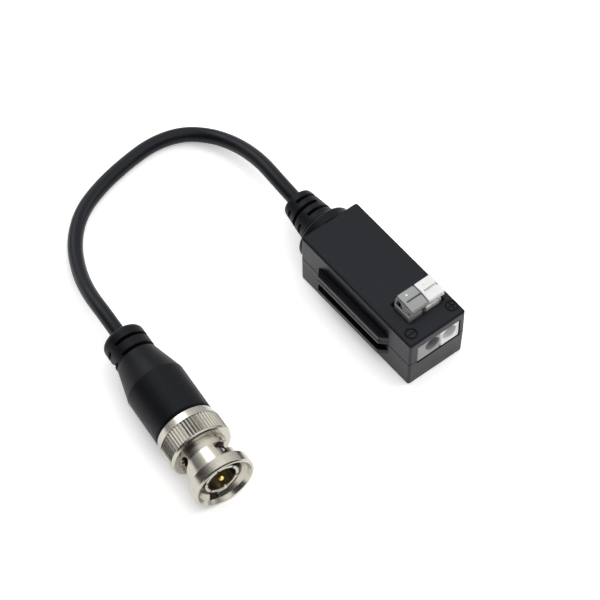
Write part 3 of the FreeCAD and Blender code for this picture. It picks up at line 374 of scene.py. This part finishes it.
@dataclass(frozen=True)
class MouldedFinish:
    """Moulded plastic, rubber or sheathing: fine grain, soft edges, faint handling marks.

    Attributes:
        name: Name of the material.
        colour: Base colour.
        roughness: Roughness of a plain face.
        specular: How strongly the surface mirrors.
        tint: Colour of what it mirrors.
        grain_scale: Fineness of the grain.
        grain_depth: Depth of the grain.
        mottle: Share by which the tone varies to either side.
        edge_radius: Radius that the shading gives to sharp edges.
        edge_wear_and_highlight: Share of the lighter tone on edges, partly wear and partly painted
            highlight.
        smudge: Roughness that handled patches lose.
        dust: Amount of dust on what faces up.
        coat: Weight of a clear coat.
        glow: Weight of the light that spreads inside the plastic.
        recess: How far grooves and corners get painted shade and turn matt.
        crown: Height above which edges are rounder and matt, or 0 for none.
        crown_radius: Radius of those edges.
    """

    name: str
    colour: Colour
    roughness: float
    specular: float = 0.5
    tint: Colour = (1.0, 1.0, 1.0)
    grain_scale: float = 6000.0
    grain_depth: float = 0.012 * MM
    mottle: float = 0.12
    edge_radius: float = 0.18 * MM
    edge_wear_and_highlight: float = 0.25
    smudge: float = 0.06
    dust: float = 0.10
    coat: float = 0.0
    glow: float = 0.0
    recess: float = 0.5
    crown: float = 0.0
    crown_radius: float = 0.80 * MM

    GRAIN_STRENGTH: ClassVar[float] = 0.5
    MARK_SCALE: ClassVar[float] = 260.0
    RECESS_REACH: ClassVar[float] = 0.35 * MM
    WORN_HIGHLIGHT_GAIN: ClassVar[float] = 1.6
    WORN_HIGHLIGHT_LIFT: ClassVar[float] = 0.01
    DUST_COLOUR: ClassVar[Colour] = (0.45, 0.44, 0.42)
    DUST_ROUGHNESS: ClassVar[float] = 0.4
    COAT_ROUGHNESS: ClassVar[float] = 0.15
    GLOW_RADIUS: ClassVar[Colour] = (0.6, 0.55, 0.5)
    GLOW_REACH: ClassVar[float] = 0.6 * MM

    def soften(self, graph: Graph, edges: bpy.types.Node) -> bpy.types.NodeSocket:
        """Round the edges above the crown's height more than the others, and turn them matt.

        Args:
            graph: The material's tree.
            edges: The placed group of softened edges.

        Returns:
            Share of the polish that is left: 1 on plain faces, less on the crown's edges.
        """
        place = graph.add("ShaderNodeTexCoord").outputs["Object"]
        height = graph.add("ShaderNodeSeparateXYZ", {0: place}).outputs["Z"]
        above = graph.math("GREATER_THAN", height, self.crown)
        wider = self.crown_radius - self.edge_radius
        radius = graph.math("MULTIPLY_ADD", above, wider, self.edge_radius)
        graph.tree.links.new(radius, edges.inputs["Radius"])
        up = graph.add("ShaderNodeSeparateXYZ", {0: edges.outputs["Normal"]}).outputs["Z"]
        squared = graph.math("MULTIPLY", up, up)
        slope = graph.math("MULTIPLY", squared, graph.math("SUBTRACT", 1.0, squared))
        halfway = graph.math("SQRT", graph.math("MULTIPLY", slope, 4.0))
        return graph.math("SUBTRACT", 1.0, graph.math("MULTIPLY", halfway, above))

    def paint(self, graph: Graph, grain: bpy.types.Node, edges: bpy.types.Node,
              dust: bpy.types.Node, recess: bpy.types.Node) -> bpy.types.NodeSocket:
        """Lay the tones over one another.

        Args:
            graph: The material's tree.
            grain: The placed group of moulded grain.
            edges: The placed group of softened edges.
            dust: The placed group of settled dust.
            recess: The placed group of shaded recesses.

        Returns:
            The colour's socket.
        """
        dark = tuple(c * (1 - self.mottle) for c in self.colour)
        light = tuple(c * (1 + self.mottle) for c in self.colour)
        # The lighter tone on edges is partly wear and partly a painted highlight.
        worn_highlight = tuple(min(1.0, c * self.WORN_HIGHLIGHT_GAIN + self.WORN_HIGHLIGHT_LIFT) for c in self.colour)
        tone = graph.blend(grain.outputs["Mottle"], dark, light)
        edge = graph.math("MULTIPLY", edges.outputs["Edge"], self.edge_wear_and_highlight)
        tone = graph.blend(edge, tone, worn_highlight)
        tone = graph.blend(dust.outputs["Dust"], tone, self.DUST_COLOUR)
        # Painted shade: grooves and corners darken toward black.
        return graph.blend(recess.outputs["Open"], BLACK, tone)

    def build(self, effects: Effects) -> bpy.types.Material:
        """Make the material.

        Args:
            effects: The shared effect groups.

        Returns:
            The finished material.
        """
        material = bpy.data.materials.new(self.name)
        material.use_nodes = True
        graph = Graph(material.node_tree)
        grain = effects.place(graph, Effect.GRAIN, Scale=self.grain_scale)
        edges = effects.place(graph, Effect.EDGES, Radius=self.edge_radius)
        marks = effects.place(graph, Effect.MARKS, Scale=self.MARK_SCALE)
        dust = effects.place(graph, Effect.DUST, Amount=self.dust)
        recess = effects.place(graph, Effect.RECESS, Reach=self.RECESS_REACH, Depth=self.recess)
        polish = recess.outputs["Open"]
        if self.crown:
            polish = graph.math("MULTIPLY", polish, self.soften(graph, edges))
        smudge = marks.outputs["Smudge"]
        rough = graph.math("MULTIPLY_ADD", smudge, -self.smudge, self.roughness)
        rough = graph.math("MULTIPLY_ADD", dust.outputs["Dust"], self.DUST_ROUGHNESS, rough,
                           clamp=True)
        shine = graph.math("MULTIPLY", polish, graph.math("SUBTRACT", 1.0, rough))
        bump = graph.add("ShaderNodeBump", {
            "Height": grain.outputs["Height"], "Strength": self.GRAIN_STRENGTH,
            "Distance": self.grain_depth, "Normal": edges.outputs["Normal"]})
        surface = graph.add("ShaderNodeBsdfPrincipled", {
            "Base Color": self.paint(graph, grain, edges, dust, recess),
            "Roughness": graph.math("SUBTRACT", 1.0, shine),
            "Normal": bump.outputs[0],
            "Specular IOR Level": self.specular,
            "Specular Tint": (*self.tint, 1.0),
            "Coat Weight": self.coat,
            "Coat Roughness": self.COAT_ROUGHNESS,
            "Subsurface Weight": self.glow,
            "Subsurface Radius": self.GLOW_RADIUS,
            "Subsurface Scale": self.GLOW_REACH,
        })
        graph.add("ShaderNodeOutputMaterial", {"Surface": surface.outputs[0]})
        return material


@dataclass(frozen=True)
class PlatedFinish:
    """Plated or bare metal: turning rings, broad bands, hair scratches and warm stains.

    Attributes:
        name: Name of the material.
        colour: Colour of the clean metal.
        roughness: Roughness of a plain face.
        stain: Colour of the stains.
        stain_share: How far they cover the metal.
        recess_shade: Colour of the shade painted into recesses.
        recess: How far recesses take that painted shade.
        rings: Depth of the turning rings.
        ring_scale: Fineness of the rings.
        axis: Axis that the rings run round.
        edge_radius: Radius that the shading gives to sharp edges.
        edge_wear_and_highlight: Share of the brighter tone on edges, partly wear and partly
            painted highlight.
    """

    name: str
    colour: Colour
    roughness: float
    stain: Colour = (0.30, 0.26, 0.20)
    stain_share: float = 0.15
    recess_shade: Colour = (0.035, 0.030, 0.022)
    recess: float = 0.0
    rings: float = 0.010 * MM
    ring_scale: float = 9000.0
    axis: Point = (1.0, 0.0, 0.0)
    edge_radius: float = 0.10 * MM
    edge_wear_and_highlight: float = 0.3

    MARK_SCALE: ClassVar[float] = 420.0
    RECESS_REACH: ClassVar[float] = 0.3 * MM
    BRIGHT_GAIN: ClassVar[float] = 1.15
    BAND_ROUGHNESS: ClassVar[float] = 0.10
    SCRATCH_ROUGHNESS: ClassVar[float] = 0.12
    RING_STRENGTH: ClassVar[float] = 0.35

    def build(self, effects: Effects) -> bpy.types.Material:
        """Make the material.

        Args:
            effects: The shared effect groups.

        Returns:
            The finished material.
        """
        material = bpy.data.materials.new(self.name)
        material.use_nodes = True
        graph = Graph(material.node_tree)
        edges = effects.place(graph, Effect.EDGES, Radius=self.edge_radius)
        marks = effects.place(graph, Effect.MARKS, Scale=self.MARK_SCALE)
        rings = effects.place(graph, Effect.TURNING, Axis=self.axis, Scale=self.ring_scale)
        recess = effects.place(graph, Effect.RECESS, Reach=self.RECESS_REACH, Depth=self.recess)
        # The brighter tone on edges is partly wear and partly a painted highlight.
        bright = tuple(min(1.0, c * self.BRIGHT_GAIN) for c in self.colour)
        stained = graph.math("MULTIPLY", marks.outputs["Smudge"], self.stain_share)
        edge = graph.math("MULTIPLY", edges.outputs["Edge"], self.edge_wear_and_highlight)
        tone = graph.blend(stained, self.colour, self.stain)
        tone = graph.blend(edge, tone, bright)
        # Painted shade: recesses darken toward the recess shade colour.
        tone = graph.blend(recess.outputs["Open"], self.recess_shade, tone)
        lowest = self.roughness - self.BAND_ROUGHNESS / 2
        rough = graph.math("MULTIPLY_ADD", rings.outputs["Shade"], self.BAND_ROUGHNESS, lowest)
        rough = graph.math("MULTIPLY_ADD", marks.outputs["Scratch"], self.SCRATCH_ROUGHNESS, rough,
                           clamp=True)
        bump = graph.add("ShaderNodeBump", {
            "Height": rings.outputs["Height"], "Strength": self.RING_STRENGTH,
            "Distance": self.rings, "Normal": edges.outputs["Normal"]})
        surface = graph.add("ShaderNodeBsdfPrincipled", {
            "Base Color": tone, "Metallic": 1.0, "Roughness": rough, "Normal": bump.outputs[0],
        })
        graph.add("ShaderNodeOutputMaterial", {"Surface": surface.outputs[0]})
        return material


@dataclass
class FinishRack:
    """Every finish on the object and the CAD nodes that wear it."""

    effects: Effects
    plug_axis: Point = tuple(PLUG_AXIS)
    made: dict[str, bpy.types.Material] = field(default_factory=dict)

    def black_finishes(self) -> dict[str, MouldedFinish]:
        """Shells, signs, boots and the cable's jacket."""
        return {
            "shell_black": MouldedFinish(
                "Housing plastic", (0.0050, 0.0052, 0.0066), roughness=0.34, specular=0.255,
                tint=COOL, grain_scale=5200.0, grain_depth=0.014 * MM, edge_wear_and_highlight=0.05,
                dust=0.015, recess=1.0, crown=14.6 * MM),
            "sign_black": MouldedFinish(
                "Sign plastic", (0.0050, 0.0052, 0.0066), roughness=0.34, specular=0.255,
                tint=COOL, grain_scale=5200.0, edge_radius=0.05 * MM, edge_wear_and_highlight=0.0,
                dust=0.015, recess=1.0),
            "relief_black": MouldedFinish(
                "Moulded boot", (0.0042, 0.0044, 0.0054), roughness=0.46, specular=0.15,
                tint=COOL, grain_scale=4200.0, edge_radius=0.30 * MM, edge_wear_and_highlight=0.0, dust=0.02),
            "cable_jacket": MouldedFinish(
                "Cable jacket", (0.0055, 0.0057, 0.0069), roughness=0.40, specular=0.21,
                tint=COOL, grain_scale=3000.0, grain_depth=0.006 * MM, dust=0.02),
        }

    def terminal_finishes(self) -> dict[str, MouldedFinish]:
        """Terminal bodies, levers and the gate mark on the grey one, painted near white as a
        highlight.
        """
        return {
            "terminal_grey": MouldedFinish(
                "Grey terminal plastic", (0.290, 0.296, 0.290), roughness=0.42,
                edge_wear_and_highlight=0.2, dust=0.0, glow=0.1, recess=1.0),
            "terminal_white": MouldedFinish(
                "White terminal plastic", (0.76, 0.76, 0.745), roughness=0.40,
                edge_wear_and_highlight=0.1, dust=0.0, glow=0.6, recess=0.2),
            "lever_grey": MouldedFinish(
                "Grey lever plastic", (0.300, 0.310, 0.304), roughness=0.38,
                edge_wear_and_highlight=0.2, dust=0.0, glow=0.1),
            "lever_white": MouldedFinish(
                "White lever plastic", (0.80, 0.805, 0.795), roughness=0.36,
                edge_wear_and_highlight=0.1, dust=0.0, glow=0.6, recess=0.2),
            # The grey lever's gate mark is painted near white as a painted highlight.
            "gate_painted_highlight": MouldedFinish(
                "Gate mark painted highlight", (0.85, 0.85, 0.84), roughness=0.22, dust=0.0),
        }

    def inner_finishes(self) -> dict[str, MouldedFinish]:
        """Mouldings inside the plug, the board, what sits on it and the cable's inside."""
        return {
            "insulator_olive": MouldedFinish(
                "Insulator", (0.20, 0.155, 0.065), roughness=0.5, specular=0.3, dust=0.0),
            "gasket_red": MouldedFinish(
                "Gasket rubber", (0.022, 0.003, 0.003), roughness=0.6, specular=0.25, dust=0.0),
            "board_green": MouldedFinish(
                "Solder mask", (0.012, 0.10, 0.03), roughness=0.28, mottle=0.3, coat=0.3),
            "carrier_black": MouldedFinish("Choke carrier", (0.02, 0.02, 0.02), roughness=0.6),
            "ferrite_grey": MouldedFinish(
                "Ferrite", (0.06, 0.06, 0.065), roughness=0.55, grain_scale=9000.0),
            "chip_black": MouldedFinish("Chip body", (0.02, 0.02, 0.022), roughness=0.4),
            "chip_tan": MouldedFinish("Chip ceramic", (0.42, 0.29, 0.16), roughness=0.4),
            "coax_core": MouldedFinish(
                "Cable insulation", (0.82, 0.82, 0.78), roughness=0.3, glow=0.3),
        }

    def metal_finishes(self) -> dict[str, PlatedFinish]:
        """Plating, springs, wire, solder and braid."""
        return {
            "nickel_plate": PlatedFinish(
                "Nickel plate", (0.515, 0.492, 0.430), roughness=0.24,
                axis=self.plug_axis, recess=1.0),
            "gold_plate": PlatedFinish(
                "Gold plate", (0.86, 0.66, 0.25), roughness=0.2,
                axis=self.plug_axis, stain_share=0.1),
            "spring_steel": PlatedFinish("Spring steel", (0.52, 0.52, 0.53), roughness=0.3),
            "contact_tinned": PlatedFinish("Tin plate", (0.66, 0.66, 0.64), roughness=0.32),
            "copper_wire": PlatedFinish(
                "Enamelled copper", (0.72, 0.30, 0.12), roughness=0.3, ring_scale=3000.0),
            "arrester_metal": PlatedFinish("Arrester cap", (0.62, 0.62, 0.63), roughness=0.3),
            "solder": PlatedFinish("Solder", (0.62, 0.63, 0.65), roughness=0.25),
            "braid_tinned": PlatedFinish(
                "Tinned braid", (0.60, 0.60, 0.60), roughness=0.4, ring_scale=4000.0),
        }

    def finishes(self) -> dict[str, MouldedFinish | PlatedFinish]:
        """Every finish by the record's material slot."""
        return {**self.black_finishes(), **self.terminal_finishes(),
                **self.inner_finishes(), **self.metal_finishes()}

    def build(self) -> None:
        """Make every material."""
        for slot, finish in self.finishes().items():
            self.made[slot] = finish.build(self.effects)

    def dress(self, nodes: dict[str, bpy.types.Object], record: dict) -> None:
        """Give each CAD node the finish of its slot.

        Args:
            nodes: The CAD nodes by name.
            record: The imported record, which names each node's slot.
        """
        for entry in record["subparts"]:
            node = nodes[entry["node"]]
            node.data.materials.clear()
            node.data.materials.append(self.made[entry["material_slot"]])
            log.info("dressed %s in %s", entry["node"], entry["material_slot"])


@dataclass
class Cable:
    """The coax cable between the strain relief and the plug's boot."""

    finish: bpy.types.Material
    diameter: float = 3.6 * MM
    length: float = 114.4 * MM
    roundness: int = 10
    steps: int = 24
    route: tuple[Point, ...] = CABLE_ROUTE

    def make(self) -> bpy.types.Object:
        """Build the jacket as one smooth tube along the route.

        Returns:
            The cable.
        """
        curve = bpy.data.curves.new("coax_cable", "CURVE")
        curve.dimensions = "3D"
        spline = curve.splines.new("NURBS")
        spline.points.add(len(self.route) - 1)
        for point, place in zip(spline.points, self.route):
            point.co = (*place, 1.0)
        spline.order_u = 3
        spline.use_endpoint_u = True
        curve.bevel_depth = self.diameter / 2
        curve.bevel_resolution = self.roundness
        curve.resolution_u = self.steps
        curve.use_fill_caps = True
        curve.materials.append(self.finish)
        cable = bpy.data.objects.new("coax_cable", curve)
        bpy.context.scene.collection.objects.link(cable)
        return cable

    def fit(self, plug_nodes: list[bpy.types.Object]) -> None:
        """Build and place the cable on the housing, hide the CAD cable and log it.

        Args:
            plug_nodes: The CAD nodes of the plug on its far end; not used.
        """
        cable = self.make()
        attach(cable, "housing")
        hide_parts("cable")
        log.info("made %s", cable.name)


@dataclass
class PolaritySign:
    """A small round sign with its mark engraved, set in a seat in the housing's top.

    Attributes:
        sign: Which mark it bears.
        centre: Its place along and across the housing.
        top: Height of the housing's top.
        finish: Its material.
        radius: Radius of the disc.
        seat: Height of its wall.
        line: Half width of the mark's lines.
        arm: Length of an arm from the centre.
        depth: Depth of the engraving.
        flank_start: Share of the depth at the line's middle, before it is held at 1.
        flank_fall: What that share loses over the half width of a line.
        dish: How far the plus sign's face is hollow.
        edge: Width of the rounded rim.
        rim_drop: How far the rim falls, as a share of its width.
        rings: Rings of the net.
        spokes: Spokes of the net.
    """

    sign: Sign
    centre: tuple[float, float]
    top: float
    finish: bpy.types.Material
    radius: float = 1.17 * MM
    seat: float = 0.3 * MM
    line: float = 0.15 * MM
    arm: float = 0.82 * MM
    depth: float = 0.24 * MM
    flank_start: float = 3.0
    flank_fall: float = 2.6
    dish: float = 0.05 * MM
    edge: float = 0.10 * MM
    rim_drop: float = 0.6
    rings: int = 46
    spokes: int = 120

    def engraved(self, x: float, y: float) -> float:
        """How deep the engraving is at a place.

        Args:
            x: Place from the centre along the housing.
            y: Place from the centre across the housing.

        Returns:
            Share of the full depth, 0 to 1.
        """
        away = math.hypot(x, max(abs(y) - self.arm, 0.0))
        if self.sign is Sign.PLUS:
            away = min(away, math.hypot(y, max(abs(x) - self.arm, 0.0)))
        share = self.flank_start - self.flank_fall * away / self.line
        return min(1.0, max(0.0, share))

    def height(self, x: float, y: float) -> float:
        """Height of the sign's face at a place.

        Args:
            x: Place from the centre along the housing.
            y: Place from the centre across the housing.

        Returns:
            The height in the frame.
        """
        share = math.hypot(x, y) / self.radius
        sag = self.dish * (1 - share * share) if self.sign is Sign.PLUS else 0.0
        rim = max(0.0, 1 - (1 - share) * self.radius / self.edge)
        fall = self.rim_drop * self.edge * rim * rim
        return self.top - sag - fall - self.depth * self.engraved(x, y)

    def make(self) -> bpy.types.Object:
        """Build the engraved disc as a fine polar net with a wall down to its seat.

        Returns:
            The sign.
        """
        mesh = bmesh.new()
        radii = [self.radius * i / self.rings for i in range(1, self.rings + 1)]
        rows = []
        for r in [*radii, self.radius]:
            row = []
            for j in range(self.spokes):
                angle = 2 * math.pi * j / self.spokes
                x = r * math.cos(angle)
                y = r * math.sin(angle)
                z = self.top - self.seat if len(rows) == self.rings else self.height(x, y)
                row.append(mesh.verts.new((self.centre[0] + x, self.centre[1] + y, z)))
            rows.append(row)
        middle = mesh.verts.new((*self.centre, self.height(0.0, 0.0)))
        for j in range(self.spokes):
            k = (j + 1) % self.spokes
            mesh.faces.new((middle, rows[0][j], rows[0][k]))
            for inner, outer in zip(rows, rows[1:]):
                mesh.faces.new((inner[j], outer[j], outer[k], inner[k]))
        for face in mesh.faces:
            face.smooth = True
        data = bpy.data.meshes.new("sign_" + self.sign.value)
        mesh.to_mesh(data)
        mesh.free()
        data.materials.append(self.finish)
        sign = bpy.data.objects.new("sign_" + self.sign.value, data)
        bpy.context.scene.collection.objects.link(sign)
        return sign

    def fit(self) -> None:
        """Place the sign on the housing."""
        sign = self.make()
        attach(sign, "housing")
        log.info("made %s", sign.name)


@dataclass
class GateMark:
    """The small round witness that the moulding gate leaves on a lever."""

    lever: str
    slot: str
    finish: bpy.types.Material
    across: float
    along: float = 9.3 * MM
    radius: float = 0.28 * MM
    height: float = 0.09 * MM
    drop: float = 0.035 * MM

    def fit(self) -> None:
        """Build the shallow cap and set it on the lever's rear face."""
        centre = Vector((self.along, self.across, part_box(self.lever)[1].z - self.drop))
        mesh = bmesh.new()
        bmesh.ops.create_uvsphere(mesh, u_segments=32, v_segments=16, radius=self.radius)
        squeeze = Matrix.Diagonal((1.0, 1.0, self.height / self.radius, 1.0))
        bmesh.ops.transform(mesh, matrix=Matrix.Translation(centre) @ squeeze, verts=mesh.verts)
        for face in mesh.faces:
            face.smooth = True
        name = self.lever + "_gate_mark"
        data = bpy.data.meshes.new(name)
        mesh.to_mesh(data)
        mesh.free()
        data.materials.append(self.finish)
        mark = bpy.data.objects.new(name, data)
        bpy.context.scene.collection.objects.link(mark)
        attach(mark, self.lever)
        log.info("made %s", name)


@dataclass(frozen=True)
class SoftBox:
    """One square studio lamp that points at the object."""

    name: str
    place: Point
    side: float
    power: float
    aim: Point = (-0.02, -0.025, 0.0)

    def make(self) -> None:
        """Hang the lamp."""
        light = bpy.data.lights.new(self.name, "AREA")
        light.shape = "SQUARE"
        light.size = self.side
        light.energy = self.power
        lamp = bpy.data.objects.new(self.name, light)
        lamp.location = self.place
        lamp.rotation_mode = "QUATERNION"
        lamp.rotation_quaternion = (Vector(self.aim) - Vector(self.place)).to_track_quat("-Z", "Y")
        bpy.context.scene.collection.objects.link(lamp)


@dataclass
class Studio:
    """Pale floor, soft light and the camera."""

    azimuth: float = 49.655
    elevation: float = 55.135
    roll: float = 1.556
    distance: float = 0.8811
    target: Point = (-0.010567, -0.015489, 0.007)
    lens: float = 232.39
    sensor: float = 36.0
    near: float = 0.05
    floor_side: float = 4.0
    floor_glow: float = 0.36

    def back(self) -> Vector:
        """Direction from the object to the camera."""
        a = math.radians(self.azimuth)
        e = math.radians(self.elevation)
        return Vector((math.sin(a) * math.cos(e), -math.cos(a) * math.cos(e), math.sin(e)))

    def make_camera(self) -> None:
        """Set the camera at the photograph's angle."""
        back = self.back()
        right = (-back).cross(Vector((0.0, 0.0, 1.0))).normalized()
        up = right.cross(-back)
        r = math.radians(self.roll)
        right, up = (right * math.cos(r) + up * math.sin(r),
                     up * math.cos(r) - right * math.sin(r))
        data = bpy.data.cameras.new("camera")
        data.lens = self.lens
        data.sensor_width = self.sensor
        data.clip_start = self.near
        camera = bpy.data.objects.new("camera", data)
        turn = Matrix((right, up, back)).transposed().to_4x4()
        camera.matrix_world = Matrix.Translation(Vector(self.target) + back * self.distance) @ turn
        bpy.context.scene.collection.objects.link(camera)
        bpy.context.scene.camera = camera

    def make_floor(self) -> None:
        """Lay the pale floor."""
        half = self.floor_side / 2
        corners = [(-half, -half, 0.0), (half, -half, 0.0), (half, half, 0.0), (-half, half, 0.0)]
        data = bpy.data.meshes.new("floor")
        data.from_pydata(corners, [], [(0, 1, 2, 3)])
        material = bpy.data.materials.new("Pale floor")
        material.use_nodes = True
        graph = Graph(material.node_tree)
        place = graph.add("ShaderNodeTexCoord").outputs["Object"]
        cloud = graph.add("ShaderNodeTexNoise", {"Vector": place, "Scale": 6.0, "Detail": 2.0})
        tone = graph.blend(cloud.outputs[0], (0.94, 0.94, 0.94), (0.96, 0.96, 0.96))
        surface = graph.add("ShaderNodeBsdfPrincipled", {
            "Base Color": tone, "Roughness": 0.9, "Specular IOR Level": 0.1,
            "Emission Color": (1.0, 1.0, 1.0, 1.0), "Emission Strength": self.floor_glow})
        graph.add("ShaderNodeOutputMaterial", {"Surface": surface.outputs[0]})
        data.materials.append(material)
        floor = bpy.data.objects.new("floor", data)
        bpy.context.scene.collection.objects.link(floor)

    def make_sky(self) -> None:
        """Light the room: bright beyond the object, more so with height, dark at the camera."""
        world = bpy.data.worlds.new("studio")
        world.use_nodes = True
        graph = Graph(world.node_tree)
        place = graph.add("ShaderNodeTexCoord").outputs["Generated"]
        height = graph.add("ShaderNodeSeparateXYZ", {0: place}).outputs["Z"]
        side = self.back()
        away = Vector((-side.x, -side.y, 0.0)).normalized()
        facing = graph.add("ShaderNodeVectorMath", {0: place, 1: tuple(away)},
                           operation="DOT_PRODUCT").outputs["Value"]
        far = graph.remap(facing, -0.05, 0.45, low=0.06, high=1.08, curve="SMOOTHSTEP")
        ramp = graph.remap(height, 0.10, 0.75, low=0.55, high=1.0)
        level = graph.math("MULTIPLY", ramp, far)
        seen = graph.add("ShaderNodeLightPath").outputs["Is Camera Ray"]
        shown = graph.blend(seen, (1.0, 1.0, 1.0), (0.95, 0.95, 0.95))
        strength = graph.add("ShaderNodeMix", {0: seen, 2: level, 3: 1.0}, data_type="FLOAT")
        sky = graph.add("ShaderNodeBackground", {"Color": shown, "Strength": strength.outputs[0]})
        graph.add("ShaderNodeOutputWorld", {"Surface": sky.outputs[0]})
        bpy.context.scene.world = world

    def make(self) -> None:
        """Set up everything round the object."""
        self.make_camera()
        self.make_floor()
        self.make_sky()
        for lamp in (
            SoftBox("top_softbox", (0.22, 0.02, 0.90), side=1.00, power=5.5),
            SoftBox("left_softbox", (-0.60, -0.05, 0.50), side=0.40, power=1.4),
            SoftBox("right_softbox", (0.25, 0.60, 0.45), side=0.40, power=1.4),
        ):
            lamp.make()
        bpy.context.scene.view_settings.view_transform = "Standard"


def main() -> None:
    """Load the frame, dress its nodes and add what Blender makes."""
    logging.basicConfig(level=logging.INFO, format="%(message)s")
    nodes = frame["nodes"]
    record = frame["record"]
    Studio().make()
    rack = FinishRack(Effects())
    rack.build()
    rack.dress(nodes, record)
    plug = [nodes[name] for name in record["physics"]["cord_nodes"] if name != "cable"]
    Cable(rack.made["cable_jacket"]).fit(plug)
    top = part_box("upper_shell")[1].z
    PolaritySign(Sign.MINUS, MINUS_SIGN_AT, top, rack.made["sign_black"]).fit()
    PolaritySign(Sign.PLUS, PLUS_SIGN_AT, top, rack.made["sign_black"]).fit()
    # The grey lever's gate mark wears the near-white painted highlight.
    GateMark("lever_minus", "lever_grey", rack.made["gate_painted_highlight"], across=GATE_ACROSS).fit()
    GateMark("lever_plus", "lever_white", rack.made["lever_white"],
             across=GATE_ACROSS + LEVER_PITCH).fit()


if __name__ == "__main__":
    main()
